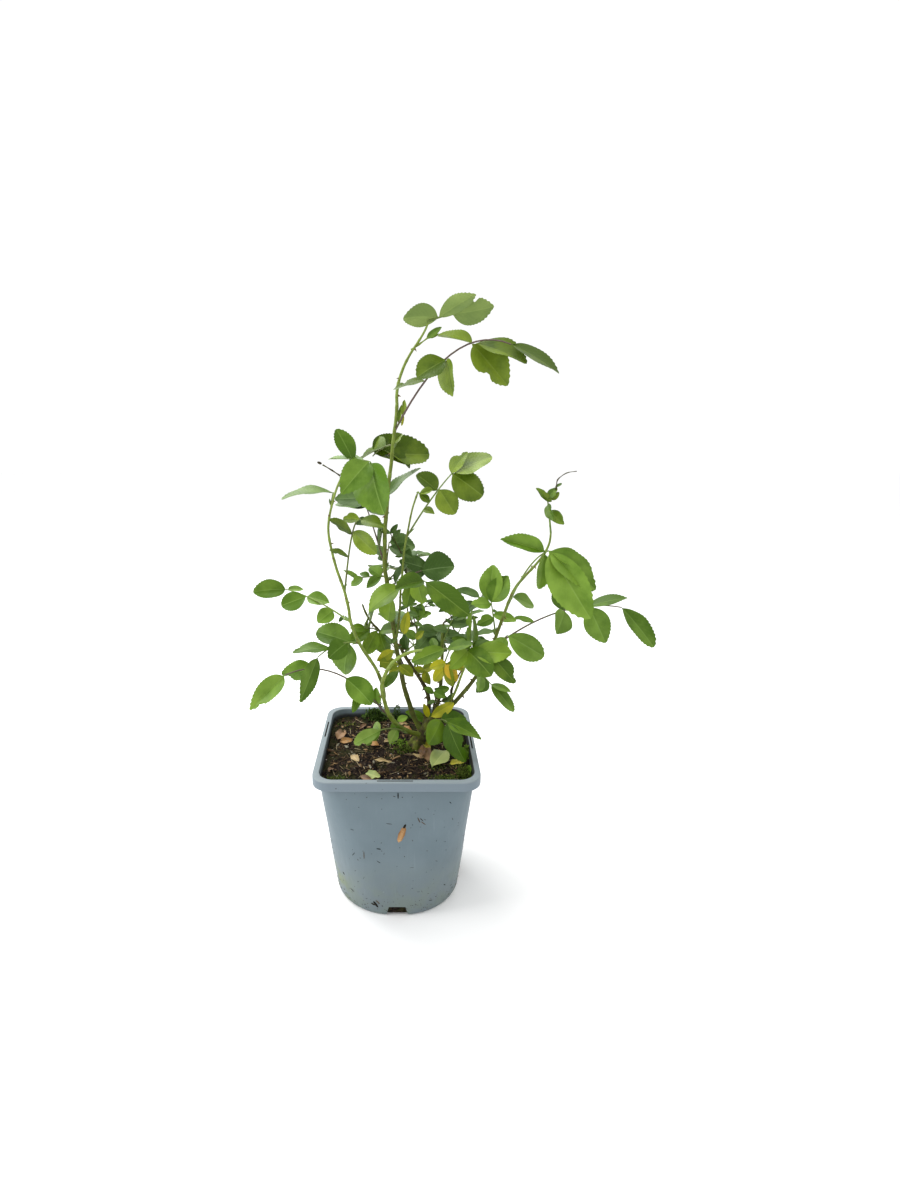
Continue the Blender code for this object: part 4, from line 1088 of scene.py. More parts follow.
# %% Grow the bush
def grow_bush():
    """Stems and leaflets of every mass, in the order of the tables, each against all before it."""
    grown = {}
    taken = [node_tree(name) for name in ["stump"] + CANE_NODES]
    for name in [*SPRAYS, *SHOOTS]:
        is_shoot = name in SHOOTS
        grown[name] = grow_shoot(name, SHOOTS[name], taken) if is_shoot else grow_spray(SPRAYS[name], taken)
        taken.append(node_tree("leaves_" + name))
    return grown


GROWN = grow_bush()
print(len(GROWN), "masses,", sum(len(leaflets) for _, leaflets in GROWN.values()), "leaflets")

# %% [markdown]
# The canes are tubes along the same curves.  Bark is made as relief, not as a
# picture: the radius follows waves round the limb whose phases wander along it,
# swells at each node and flares where a limb leaves its parent.  Old wood is
# rougher, so the relief grows with a value called age, which also turns the
# colour from fresh green to brown.  Solids that follow one another along a cane
# are drawn as one tube, so that no seam shows where one ends.

# %% Whole canes
CANE_ROW = 2.2               # length between two rings of points
CANE_SIDES = 16
NODE_PITCH = 26.0            # length between two nodes of a cane
AGE_POWER = 1.1              # over 1, a cane stays old for longer from its foot up

OLD_WOOD = 0.8               # a cane whose foot is older than this is old wood

# the solids a cane runs through, its age at foot and tip, length per thorn
WHOLE_CANES = (
    (("tall_low", "tall_mid", "tall_top"), 0.62, 0.0, 26.0),
    (("arch_low", "arch_out"), 0.26, 0.0, 32.0),
    (("left_low", "left_top"), 0.2, 0.0, 34.0),
    (("dark", "back_left"), 0.92, 0.6, 7.0),
    (("centre",), 0.82, 0.2, 9.0),
    (("right_low", "right_mid", "right_top"), 0.7, 0.05, 20.0),
    (("mid_shoot",), 0.45, 0.15, 70.0),
    (("upright",), 0.38, 0.1, 30.0),
)


def bark_waves(along, angle, seed):
    """Relief from -1 to 1: waves round the limb, so without a seam, whose phases wander along it."""
    relief = np.zeros((len(along), len(angle)))
    for number, turns in enumerate((2, 3, 5, 7)):
        phase = 5.0 * lumps(along + 300, np.full(len(along), 9.0 * number), 14.0, seed)
        relief += np.cos(turns * angle[None] + phase[:, None]) / (1.5 + number)
    cracks = lumps(along[:, None] + 300, np.cos(angle)[None] * 9 + 50, 3.5, seed + 1)
    return 0.45 * relief + 0.35 * cracks


def cane_line(names):
    """A cane's line from inside its parent to its tip: points, radius and length at each of them."""
    parent, place = CANES[names[0]][:2]
    first = LIMBS[names[0]]
    inward = unit(LIMBS[parent].at(place) - first.at(0.0))
    path, radius = [first.at(0.0) + inward * first.foot * 1.2], [first.foot]
    for name in names:
        limb = LIMBS[name]
        share = np.linspace(0, 1, int(limb.length() / CANE_ROW), endpoint=name == names[-1])
        path += list(limb.at(share))
        radius += list(limb.radius(share))
    path, radius = np.array(path), np.array(radius)
    along = lengths_along(path)
    zigzag = (np.abs((along / NODE_PITCH + 0.5) % 2 - 1) - 0.5) * np.clip(along / 40, 0, 1)
    return path + 0.9 * zigzag[:, None] * unit(np.array([0.8, 0.6, 0.1])), radius, along


def bark_tube(pile, path, thick, age, relief, sides):
    """A tube whose rings carry their age; its thickness gets the relief added."""
    points, faces, uv = tube(path, thick[:, None] + relief, sides)
    pile.add(points, faces, uv, tone=np.concatenate([np.repeat(age, sides), age[:1], age[-1:]]))


def make_cane(pile, line, old, young, seed):
    """One cane as a tube with nodes, a collar at its foot and bark that roughens with age."""
    path, radius, along = line
    age = old + (young - old) * (along / along[-1]) ** AGE_POWER
    node = np.exp(-(((along + NODE_PITCH / 2) % NODE_PITCH - NODE_PITCH / 2) / 1.8) ** 2)
    collar = np.exp(-along / 4.0)
    tip = np.clip((along[-1] - along) / 2.0, 0.35, 1)
    angle = np.arange(CANE_SIDES) * 2 * math.pi / CANE_SIDES
    depth = (0.05 + 0.16 * age) * np.sqrt(radius)
    relief = bark_waves(along, angle, seed) * depth[:, None]
    bark_tube(pile, path, (radius * (1 + 0.45 * collar) + 0.3 * node) * tip, age, relief, CANE_SIDES)


def make_stump(pile):
    """The knuckle at soil level: a short thick limb with a lobed flare, closed by a rounded top."""
    sides, rows = 44, 46
    limb, share = LIMBS["stump"], np.linspace(0, 1, rows)
    path = limb.at(share)
    path[0] -= UP * 3.0
    angle = np.arange(sides) * 2 * math.pi / sides
    flare = 1 + 0.5 * np.clip(1 - share / 0.35, 0, 1) ** 2
    lobes = 1 + 0.16 * np.cos(4 * angle + 0.7)[None] * np.clip(1 - share / 0.5, 0, 1)[:, None]
    crown = np.sqrt(np.clip((1.02 - share) / 0.1, 0, 1))
    knobs = lumps(share[:, None] * 40 + 200, np.cos(angle)[None] * 9 + np.sin(angle)[None] * 5 + 60, 6.0, 31)
    relief = 0.9 * bark_waves(share * 40, angle, 30) + 1.1 * knobs
    thick = limb.radius(share) * flare * crown
    bark_tube(pile, path, thick, np.ones(rows), thick[:, None] * (lobes - 1) + relief * crown[:, None], sides)


# %% Thorns and buds
THORN_SIDES, THORN_ROWS = 6, 5


def make_thorn(pile, root, out, down, length, tone):
    """A cone whose middle line bows down and whose foot is drawn out along the cane.

    Each ring is middle + width (cos a along the cane + sin a across it), with the width
    falling as (1 - t) to the power 1.3 from foot to point.
    """
    t = np.linspace(0, 1, THORN_ROWS + 1)[:-1, None]
    middle = root + out * length * t + down * length * 0.42 * t ** 2
    across = np.cross(out, down)
    angle = np.arange(THORN_SIDES) * 2 * math.pi / THORN_SIDES
    ring = (np.cos(angle)[:, None] * down * 0.34 + np.sin(angle)[:, None] * across * 0.15) * length
    rows = middle[:, None] + ring[None] * (1 - t[..., None]) ** 1.3
    tip = root + out * length + down * length * 0.42
    points = np.concatenate([rows.reshape(-1, 3), [root - out * 0.2, tip]])
    pile.add(points, closed_faces(THORN_ROWS, THORN_SIDES), tone=tone)


def outward(path, row, spin):
    """The cane's own direction at a row of its path, and a direction square to it, turned by spin."""
    axis = unit(path[row] - path[row - 1])
    return axis, unit(np.cross(axis, (math.cos(spin), math.sin(spin), 0.2)))


def make_thorns(pile, line, old, young, pitch, rng):
    """Thorns along a cane in all directions, larger on old wood, hooked down."""
    path, radius, along = line
    place = 6 + rng.uniform(0, pitch)
    while place < 0.94 * along[-1]:
        row = int(np.searchsorted(along, place))
        axis, out = outward(path, row, rng.uniform(0, 2 * math.pi))
        age = old + (young - old) * place / along[-1]
        length = rng.uniform(3.0, 5.4) * (0.65 + 0.55 * age + 0.1 * radius[row])
        make_thorn(pile, path[row] + out * radius[row] * 0.8, out, -axis, length, age)
        place += pitch * rng.uniform(0.4, 1.6)


def make_buds(pile, line, rng):
    """A small pointed bud just above every node, on alternate sides."""
    path, radius, along = line
    for number in range(1, int(along[-1] / NODE_PITCH)):
        row = int(np.searchsorted(along, number * NODE_PITCH + 1.5))
        axis, out = outward(path, row, number * math.pi + rng.uniform(-0.6, 0.6))
        size = rng.uniform(1.8, 3.0)
        steps = np.array([0, 0.25, 0.55, 0.85, 1.0])[:, None]
        middle = path[row] + out * radius[row] * 0.7 + (axis * 0.9 + out * 0.55) * size * steps
        width = size * 0.36 * np.array([0.7, 1.0, 0.85, 0.4, 0.08])
        pile.add(*tube(middle, width, 6), finish=1, tone=rng.uniform())


# %% Finish of the bark
def colour_ramp(tree, value, stops):
    """A colour ramp through (place, colour) stops."""
    made = add_node(tree, "ValToRGB", {"Fac": value})
    elements = made.color_ramp.elements
    for number, (place, colour) in enumerate(stops):
        element = elements[number] if number < 2 else elements.new(place)
        element.position, element.color = place, (*colour, 1.0)
    return made.outputs["Color"]


def make_bark_finish():
    """Fresh green at age 0, olive half-way, dark brown at 1; fine lines run lengthwise, and the foot
    has moss and loose bark."""
    material, tree = new_finish("bark", roughness=0.6, Specular_IOR_Level=0.22)
    around, along, _ = parts_of(tree, uv_place(tree))
    lines = noise(tree, vector_of(tree, around, times(tree, along, 0.1)), 1.6, 4.0)
    wander = times(tree, sums(tree, "SUBTRACT", blotches(tree, 0.009, 0.5), 0.5), 0.3)
    age = sums(tree, "ADD", tone_of(tree), wander, clamp=True)
    at_foot = ramp(tree, parts_of(tree, object_place(tree))[2], 0.235, 0.215)
    skin = colour_ramp(tree, age, ((0.0, (0.21, 0.29, 0.052)), (0.28, (0.12, 0.165, 0.018)),
                                   (0.58, (0.072, 0.084, 0.012)), (0.85, (0.05, 0.042, 0.013)),
                                   (1.0, (0.036, 0.028, 0.012))))
    colour = coats(tree, skin, ((0.15, 0.13, 0.05), ramp(tree, lines, 0.5, 0.72), 0.35),
                   ((0.125, 0.155, 0.014), blotches(tree, 0.01, 0.7), at_foot, 0.9),
                   ((0.26, 0.13, 0.055), specks(tree, 0.006, 0.26, 0.24, 0.35), at_foot, 0.8),
                   ((0.016, 0.012, 0.01), ramp(tree, lines, 0.46, 0.32), age, 0.7))
    return painted(material, colour, (lines, 0.5, 0.0005), ramp(tree, age, 0.2, 0.9, 0.42, 0.85))


BARK = make_bark_finish()
print("finish:", BARK.name)


# %% Put the limbs together
def make_limbs():
    rng = np.random.default_rng(41)
    old_wood, green_canes, details = Pile(), Pile(), Pile()
    make_stump(old_wood)
    for number, (names, old, young, pitch) in enumerate(WHOLE_CANES):
        line = cane_line(names)
        make_cane(old_wood if old > OLD_WOOD else green_canes, line, old, young, 50 + 2 * number)
        make_thorns(details, line, old, young, pitch, rng)
        make_buds(details, line, rng)
    old_nodes = ["cane_" + name for names, old, *_ in WHOLE_CANES if old > OLD_WOOD for name in names]
    green_nodes = [node for node in CANE_NODES if node not in old_nodes]
    old_wood.piece("old_wood", [BARK], "old_bark", ["stump"] + old_nodes)
    green_canes.piece("green_canes", [BARK], "cane_bark", green_nodes)
    finishes = [litter_finish("thorn_skin", (0.17, 0.11, 0.042), (0.03, 0.019, 0.014), 0.45),
                litter_finish("bud_scales", (0.14, 0.17, 0.04), (0.17, 0.045, 0.025), 0.5)]
    details.piece("thorns_and_buds", finishes, "cane_bark", crease=70)


make_limbs()

# %% [markdown]
# A leaflet is drawn in units of its own length t and a share c across it, from
# -1 at one margin over 0 at the midrib to 1 at the other.  Its half width at t
# is wide t^a (1 - t)^b, its margin steps in and out to make the teeth, the two
# halves fold up from the midrib, the tip curls down, and the whole blade twists
# a little.  Some leaflets are bitten: a bump of missing blade on one margin.
# All leaflets of one tint are worked out together as one array.  The same fans
# of triangles join the margin to the middle line above and below, so the two
# skins of the thin blade never cross.

# %% Points and faces of one leaflet
ROWS = 7
STEPS = 4                    # steps of the margin in a row, two to a tooth
MARGIN = STEPS * ROWS
MIDDLE = 0.55                # place of the middle line of points across a half


def leaf_template():
    """Four values for each point of a leaflet, which are t, c, 1 if it lies underneath and 1 if it
    is a tooth's tip, and the point numbers of each line that runs from its base to its tip."""
    inner, step = np.arange(1, ROWS) / ROWS, np.arange(1, MARGIN) / MARGIN
    points, lines = [(0.0, 0.0, 0.0), (1.0, 0.0, 0.0)], []
    for under, shares in ((0.0, (0.0, MIDDLE, -MIDDLE, 1.0, -1.0)), (1.0, (0.0, MIDDLE, -MIDDLE))):
        for share in shares:
            places = step if abs(share) == 1 else inner
            lines.append([0, *range(len(points), len(points) + len(places)), 1])
            points += [(place, share, under) for place in places]
    t, c, under = np.array(points).T
    tooth = (np.abs(c) == 1) & (np.round(t * MARGIN).astype(int) % 2 == 1)
    return (t, c, under, tooth.astype(float)), lines


def leaf_faces(lines):
    """Faces of the upper side, then of the under side; both share base, tip and margins.

    A row's margin steps fan out from the near or far point of the middle line.  The first and
    last rows fan from one point only, so that no triangle lies between base or tip and margin.
    """
    faces = []
    margins = lines[3:5]
    for under, (rib, *middles) in enumerate((lines[:3], lines[5:])):
        for side, (middle, margin) in enumerate(zip(middles, margins)):
            for row in range(ROWS):
                near, far = middle[row], middle[row + 1]
                near_steps = 0 if row == 0 else STEPS if row == ROWS - 1 else STEPS // 2
                found = [[rib[row], rib[row + 1], far, near]]
                for step in range(STEPS):
                    hub = near if step < near_steps else far
                    found.append([hub, margin[STEPS * row + step + 1], margin[STEPS * row + step]])
                if 0 < near_steps < STEPS:
                    found.append([near, far, margin[STEPS * row + near_steps]])
                for face in (list(dict.fromkeys(corners)) for corners in found):
                    if len(face) > 2:
                        faces.append(face[::-1] if side != under else face)
    return faces


(LEAF_T, LEAF_C, LEAF_UNDER, LEAF_TOOTH), LEAF_LINES = leaf_template()
LEAF_UV = np.stack([0.5 + 0.5 * LEAF_C, LEAF_T], axis=-1)
LEAF_FACES = leaf_faces(LEAF_LINES)


def bitten(rng, t, c, share):
    """What is left of the half width where a leaflet is bitten on one side; 1 where it is whole."""
    count = (len(t), 1)
    depth = rng.uniform(0.25, 0.55, count) * (rng.random(count) < share)
    place, reach = rng.uniform(0.55, 0.92, count), rng.uniform(0.05, 0.12, count)
    side = np.where(rng.random(count) < 0.5, -1.0, 1.0)
    return 1 - depth * np.exp(-((t - place) / reach) ** 2) * (c * side > 0)


def leaf_points(leaflets, rng, curl=0.1, fold=22.0, wave=0.014, bites=0.22):
    """Points of many leaflets at once, shape (leaflet, point, xyz)."""
    root, along, normal = (np.array([leaf[number] for leaf in leaflets]) for number in range(3))
    length, wide = (np.array([leaf[number] for leaf in leaflets])[:, None] for number in (3, 4))
    count = (len(leaflets), 1)
    t = np.broadcast_to(LEAF_T, (len(leaflets), len(LEAF_T)))
    c = LEAF_C[None]
    low_power, high_power = rng.uniform(0.55, 0.8, count), rng.uniform(0.6, 0.95, count)
    peak = low_power / (low_power + high_power)
    blade = np.clip((t - 0.05) / 0.95, 0, 1)
    profile = (blade / peak) ** low_power * ((1 - blade) / (1 - peak)) ** high_power
    uneven = 1 + c * rng.normal(0, 0.07, count)
    half = 0.5 * length * wide * profile * uneven * bitten(rng, t, c, bites) + 0.45 * (1 - t)
    toothed = LEAF_TOOTH[None] * np.clip((t - 0.12) / 0.35, 0, 1) * np.clip((1 - t) / 0.06, 0, 1)
    edge = half + toothed * length * rng.uniform(0.01, 0.018, count)
    ahead = t + toothed * 0.5 / MARGIN
    lift = np.radians(rng.normal(fold, 7.0, count))
    ripple = wave * np.sin(2 * math.pi * (rng.uniform(1.2, 2.4, count) * t + rng.uniform(0, 1, count)) + c)
    drop = (curl + rng.uniform(-0.03, 0.09, count)) * ahead ** 2
    side = c * edge * np.cos(lift) + length * rng.normal(0, 0.045, count) * t ** 2
    high = np.abs(c) * edge * np.sin(lift) * (1.2 - 0.45 * np.abs(c)) + length * (ripple * c ** 2 - drop)
    high = high - LEAF_UNDER * np.where(c == 0, 0.45, 0.3) * np.clip(length / 40, 0.4, 1.0)
    twist = np.radians(rng.normal(0, 11.0, count)) * t
    side, high = side * np.cos(twist) - high * np.sin(twist), side * np.sin(twist) + high * np.cos(twist)
    across = np.cross(normal, along)
    start = root - along * 0.3
    return (start[:, None] + along[:, None] * (length * ahead)[..., None]
            + across[:, None] * side[..., None] + normal[:, None] * high[..., None])


def add_leaves(pile, leaflets, rng, finishes=(0, 1), **shape):
    """Adds leaflets to a pile: finishes are those of the upper and under faces."""
    blades = leaf_points(leaflets, rng, **shape)
    for points, tone in zip(blades, rng.uniform(0, 1, len(leaflets))):
        pile.add(points, LEAF_FACES, LEAF_UV, np.repeat(finishes, len(LEAF_FACES) // 2), tone)


print("a leaflet has", len(LEAF_T), "points and", len(LEAF_FACES), "faces")

# %% [markdown]
# Veins are drawn from the leaflet's own UV place.  Side veins leave the midrib
# and run forward, so the pattern repeats along t minus a share of the distance
# from the midrib.  The same pattern swells the blade between its veins.  The
# upper and under faces have their own finish: deep and a little glossy above,
# pale and dull below.

# %% Veins of a leaf
def make_veins():
    """Gives masks of the side veins and the midrib, and a height that swells between the veins."""
    group, given, made = new_group("leaf_veins", ["Veins", "Rib", "Quilt"], Pairs=7.0, Slant=0.32, Width=0.1)
    across, t, _ = parts_of(group, uv_place(group))
    signed = sums(group, "SUBTRACT", times(group, across, 2.0), 1.0)
    from_rib = sums(group, "ABSOLUTE", signed)
    forward = sums(group, "SUBTRACT", t, times(group, from_rib, given["Slant"]))
    shift = times(group, sums(group, "GREATER_THAN", signed, 0.0), 0.4)
    beat = sums(group, "FRACT", sums(group, "ADD", times(group, forward, given["Pairs"]), shift))
    off = sums(group, "ABSOLUTE", sums(group, "SUBTRACT", beat, 0.5))
    near = sums(group, "SUBTRACT", 0.5, given["Width"])
    side_vein = times(group, ramp(group, off, near, 0.5), ramp(group, from_rib, 1.0, 0.35))
    group.links.new(side_vein, made["Veins"])
    group.links.new(ramp(group, from_rib, 0.055, 0.015), made["Rib"])
    group.links.new(ramp(group, off, 0.5, 0.0), made["Quilt"])
    return group


VEINS = make_veins()
print("shared pattern:", VEINS.name)


def make_leaf_finish(name, deep, fresh, under=False):
    """Colour by leaf, deeper in soft clouds and, as painted shade, on one half of the blade, with fine pale
    veins.
    """
    material, tree = new_finish(name, roughness=0.62 if under else 0.42, Specular_IOR_Level=0.22)
    pattern = use_group(tree, VEINS, Pairs=9.0, Slant=0.34, Width=0.07 if under else 0.05)
    # painted shade: one half of each blade, beyond the midrib, is made deeper, as the fold would shade it
    half = times(tree, ramp(tree, parts_of(tree, uv_place(tree))[0], 0.46, 0.54), 0.34)
    # depth: that painted shade of the half, plus clouds of the leaf's own colour
    depth = sums(tree, "ADD", half, times(tree, blotches(tree, 0.018, 0.35), 0.72))
    lively = sums(tree, "ADD", times(tree, tone_of(tree), 0.95), 0.36)
    vein = tuple(1.1 * part + 0.04 for part in fresh)
    if under:
        deep, fresh = (tuple(0.72 * np.array(colour) + UNDER_GREY) for colour in (deep, fresh))
    colour = blend(tree, sums(tree, "SUBTRACT", lively, depth, clamp=True), deep, fresh)
    colour = coats(tree, colour, (vein, pattern["Veins"], 0.3 if under else 0.17),
                   (vein, pattern["Rib"], 0.45))
    height = sums(tree, "ADD", pattern["Quilt"], times(tree, pattern["Rib"], 0.6 if under else -0.6))
    return painted(material, colour, (height, 0.12, 0.0003))


# %% Leaves of each tint
UNDER_GREY = (0.1, 0.12, 0.05)      # what makes the underside paler

# tint: deep colour, fresh colour, the masses that have it; all other masses are "mid"
TINTS = {
    "mid": ((0.052, 0.116, 0.002), (0.16, 0.275, 0.034), ()),
    "clear": ((0.066, 0.145, 0.003), (0.198, 0.33, 0.038),
              ("glossy_right", "whorl_front", "left_low", "left_high", "upright_right")),
    "dark": ((0.038, 0.086, 0.009), (0.134, 0.222, 0.06),
             ("dark_upper", "dark_mid", "dark_pair", "narrow_back", "centre_back", "back_high",
              "back_tall", "back_dark", "back_centre", "twig_right")),
    "olive": ((0.056, 0.104, 0.001), (0.184, 0.264, 0.02),
              ("whorl_back", "shoot_leaf", "shoot_tip", "upper_right", "left_inner")),
    "young": ((0.05, 0.108, 0.001), (0.162, 0.262, 0.016),
              ("bright_centre", "right_tip", "arch_tip", "upright_centre", "centre_left")),
    "shade": ((0.042, 0.098, 0.001), (0.135, 0.235, 0.008), ("low_front", "low_back")),
    "yellow": ((0.125, 0.17, 0.004), (0.42, 0.4, 0.01), ("yellow_inner", "dark_inner", "inner_left")),
    "amber": ((0.48, 0.36, 0.01), (0.68, 0.44, 0.03), ()),
    "pale": ((0.078, 0.154, 0.01), (0.215, 0.31, 0.055), ("low_left", "top")),
}
TINT_OF = {name: tint for tint, (_, _, names) in TINTS.items() for name in names}
SHAPES = {"glossy_right": {"fold": 24.0, "bites": 0.0}, "bright_centre": {"fold": 30.0, "curl": 0.16},
          "left_long": {"curl": 0.22}, "whorl_back": {"fold": 34.0}, "low_front": {"fold": 14.0},
          "top": {"fold": 26.0}}
LEAF_FINISHES = {tint: [make_leaf_finish(f"leaf_{tint}_upper", deep, fresh),
                        make_leaf_finish(f"leaf_{tint}_under", deep, fresh, under=True)]
                 for tint, (deep, fresh, _) in TINTS.items()}


def make_foliage():
    rng = np.random.default_rng(61)
    for tint, finishes in LEAF_FINISHES.items():
        names = [name for name in GROWN if TINT_OF.get(name, "mid") == tint]
        pile = Pile()
        for name in names:
            add_leaves(pile, GROWN[name][1], rng, **SHAPES.get(name, {}))
        if names:
            pile.piece(f"foliage_{tint}", finishes, "foliage", ["leaves_" + name for name in names])


make_foliage()

# %% [markdown]
# Each mass of leaves hangs on a stalk: a smooth bowed line that starts inside
# the cane and tapers to its end.  At its foot sit two narrow wings, which are
# the same leaflet drawn very slim.

# %% Stalks and the wings at their feet
STALK_FOOT, STALK_TIP = 1.25, 0.75
RED_STALKS = ("right_long", "upper_right", "narrow_back", "left_low", "dark_pair", "dark_upper")


def make_stalk_finish():
    """Light green, with red skin on the stalks whose tone is high."""
    material, tree = new_finish("stalk_skin", roughness=0.5, Specular_IOR_Level=0.2)
    wander = times(tree, sums(tree, "SUBTRACT", blotches(tree, 0.01, 0.6), 0.5), 0.3)
    tone = sums(tree, "ADD", tone_of(tree), wander, clamp=True)
    return painted(material, colour_ramp(tree, tone, (
        (0.0, (0.185, 0.29, 0.055)), (0.5, (0.12, 0.145, 0.045)), (1.0, (0.11, 0.072, 0.064)))))


def make_stalks():
    rng = np.random.default_rng(71)
    stalks, wings = Pile(), Pile()
    for name, (stems, _) in GROWN.items():
        redness = rng.uniform(0.8, 1.0) if name in RED_STALKS else rng.uniform(0.15, 0.55)
        for number, (start, end, arch) in enumerate(stems):
            path = bowed(start, end, arch, 14)
            inward = unit(path[0] - path[1])
            path = np.concatenate([[path[0] + inward * 1.6], path])
            radius = np.linspace(STALK_FOOT, STALK_TIP, len(path)) * (1.0 if number == 0 else 0.8)
            stalks.add(*tube(path, radius, 7), tone=redness)
            if number == 0 and np.linalg.norm(end - start) > 14:
                along = unit(path[4] - path[1])
                normal = blade_normal(along, 20.0)
                across = np.cross(normal, along)
                for hand in (1, -1):
                    reach = unit(along + hand * across * 0.22)
                    wing = (start + hand * across * 0.5, reach, normal, rng.uniform(8, 12), 0.2)
                    add_leaves(wings, [wing], rng, wave=0.0)
    stalks.piece("stalks", [make_stalk_finish()], "foliage")
    finish = make_leaf_finish("wing_skin", (0.1, 0.19, 0.04), (0.16, 0.26, 0.055))
    wings.piece("stalk_wings", [finish, finish], "foliage")


make_stalks()

# %% [markdown]
# No solid stands for the smallest things: bare twigs, the whip on the right cane,
# single leaves, fallen leaves, moss, and marks on the pot.  Each is a short table
# of places in mm and a shape made before: a tube through a few corners, the
# leaflet, or a small spindle repeated by seeded chance.

# %% Bare twigs
def twig_path(depth, corners, steps=5):
    """A smooth line through a few corners: Catmull-Rom curves, all worked out at once."""
    corners = np.array([(x, depth, z) for x, z in corners], float)
    first, last = 2 * corners[:1] - corners[1:2], 2 * corners[-1:] - corners[-2:-1]
    padded = np.concatenate([first, corners, last])
    before, start, end, after = (padded[number:len(padded) - 3 + number, None] for number in range(4))
    s = np.linspace(0, 1, steps, endpoint=False)[None, :, None]
    curve = 0.5 * (2 * start + (end - before) * s + (2 * before - 5 * start + 4 * end - after) * s ** 2
                   + (3 * start - before - 3 * end + after) * s ** 3)
    return np.concatenate([curve.reshape(-1, 3), corners[-1:]])


# depth (y), corners (x, z), radius at foot and tip, age of the bark
TWIGS = (
    (-45, ((172, 524), (175, 535), (176, 543), (185, 550), (196, 552)), 0.9, 0.4, 0.85),
    (20, ((17, 680), (26, 686), (36, 693)), 1.2, 0.9, 0.1),
    (-34, ((-61, 546), (-70, 552), (-80, 558)), 0.9, 0.7, 0.8),
    (52, ((26, 330), (24, 344), (16, 371)), 1.4, 0.7, 1.0),
    (52, ((27, 348), (36, 369), (46, 378)), 0.9, 0.4, 0.95),
    (52, ((36, 369), (50, 370), (65, 366)), 0.7, 0.4, 0.95),
    (50, ((77, 335), (73, 342), (69, 362)), 1.2, 0.7, 1.0),
    (15, ((62, 228), (71, 250), (70, 267), (77, 284), (84, 298)), 2.0, 1.2, 0.85),
    (5, ((46, 238), (47, 251), (50, 261), (55, 272)), 1.3, 0.8, 0.9),
    (5, ((47, 251), (56, 256), (64, 259)), 1.1, 0.7, 0.9),
    (20, ((8, 300), (2, 316), (-8, 330)), 1.0, 0.5, 0.9),
    (30, ((20, 352), (13, 372), (14, 392)), 1.1, 0.5, 0.8),
    (30, ((12, 420), (5, 446), (-8, 470)), 1.0, 0.5, 0.85),
)
BUD_AT = (-81, -34, 559)


def make_twigs():
    """Tubes through their corners; the third of them ends in a small dead bud."""
    pile = Pile()
    for depth, corners, foot, tip, age in TWIGS:
        path = twig_path(depth, corners)
        radius = np.linspace(foot, tip, len(path))
        knot = 1 + 0.25 * np.cos(np.arange(len(path)) * 2 * math.pi / 5)
        pile.add(*tube(path, radius * knot, 7), tone=age)
    steps = np.array([0, 0.2, 0.5, 0.8, 1.0])
    bud = np.array(BUD_AT) + steps[:, None] * np.array((-5.0, 0.0, 2.0))
    pile.add(*tube(bud, 1.5 * np.array([0.5, 0.9, 1.0, 0.7, 0.1]), 7), tone=0.9)
    pile.piece("twigs", [BARK], "cane_bark")


make_twigs()

# %% Single leaves
# foot, tip, width over length, tint, and for a few the direction that the blade faces
SINGLE_LEAVES = (
    ((34, 20, 692), (50, 14, 704), 0.34, "mid", (0.3, -1.0, 0.5)),
    ((36, 20, 693), (49, 20, 696), 0.26, "olive", (0.1, -1.0, -0.4)),
    ((3, 18, 600), (6, 16, 622), 0.28, "olive", (-0.6, -1.0, 0.1)),
    ((6, 18, 598), (9, 16, 612), 0.3, "yellow", (0.9, -1.0, 0.1)),
    ((171, -45, 519), (156, -47, 531), 0.45, "olive"), ((171, -45, 521), (178, -47, 530), 0.55, "olive"),
    ((174, -45, 535), (181, -46, 539), 0.4, "dark"), ((9, -8, 352), (12, -10, 381), 0.42, "yellow"),
    ((23, -8, 346), (33, -10, 357), 0.6, "yellow"), ((60, -4, 311), (75, -8, 287), 0.5, "amber"),
    ((74, -4, 322), (83, -8, 308), 0.6, "amber"), ((43, -2, 238), (70, -12, 262), 0.42, "yellow"),
    ((40, 0, 236), (35, -6, 258), 0.34, "yellow"), ((-4, -6, 331), (-24, -12, 317), 0.55, "yellow"),
    ((-12, -4, 316), (-22, -8, 309), 0.6, "olive"), ((2, -6, 302), (-18, -10, 283), 0.48, "mid"),
    ((-64, -4, 375), (-72, -6, 368), 0.45, "dark"), ((0, -14, 238), (12, -16, 246), 0.6, "clear"),
    ((0, -14, 238), (-7, -17, 226), 0.62, "clear"), ((-1, -15, 236), (1, -18, 222), 0.5, "mid"),
    ((172, -50, 465), (226, -57, 425), 0.34, "mid"),
)
TWIG_LEAF_PITCH = 8.0        # length of twig between two small leaves, from its tip down
LEAFY_TWIG = 1.5             # twigs that are thicker than this at the foot are bare


def single_leaf(foot, tip, wide, face=(0.0, -1.0, 0.6)):
    """A leaflet as the growing rule gives it: root, direction, facing, length in mm, width share."""
    foot, tip, face = (np.array(place, float) for place in (foot, tip, face))
    length = np.linalg.norm(tip - foot)
    along = (tip - foot) / length
    return foot, along, unit(face - along * (face @ along)), length, wide


def twig_leaves(rng):
    """Small leaflets on alternate sides of the old twigs, two at each tip."""
    leaves = []
    for depth, corners, foot, *_ in TWIGS[3:]:
        path = twig_path(depth, corners)
        along = lengths_along(path)
        steps = np.arange(along[-1], 0.35 * along[-1], -TWIG_LEAF_PITCH) if foot < LEAFY_TWIG else []
        for number, place in enumerate([along[-1], *steps]):
            root = point_on(path, place, along)
            heading = 180 * (number % 2) + rng.uniform(-45, 45)
            reach = direction(heading, rng.uniform(-15, 65)) * rng.uniform(9, 16)
            leaves.append(single_leaf(root, root + reach, rng.uniform(0.38, 0.54)))
    return leaves


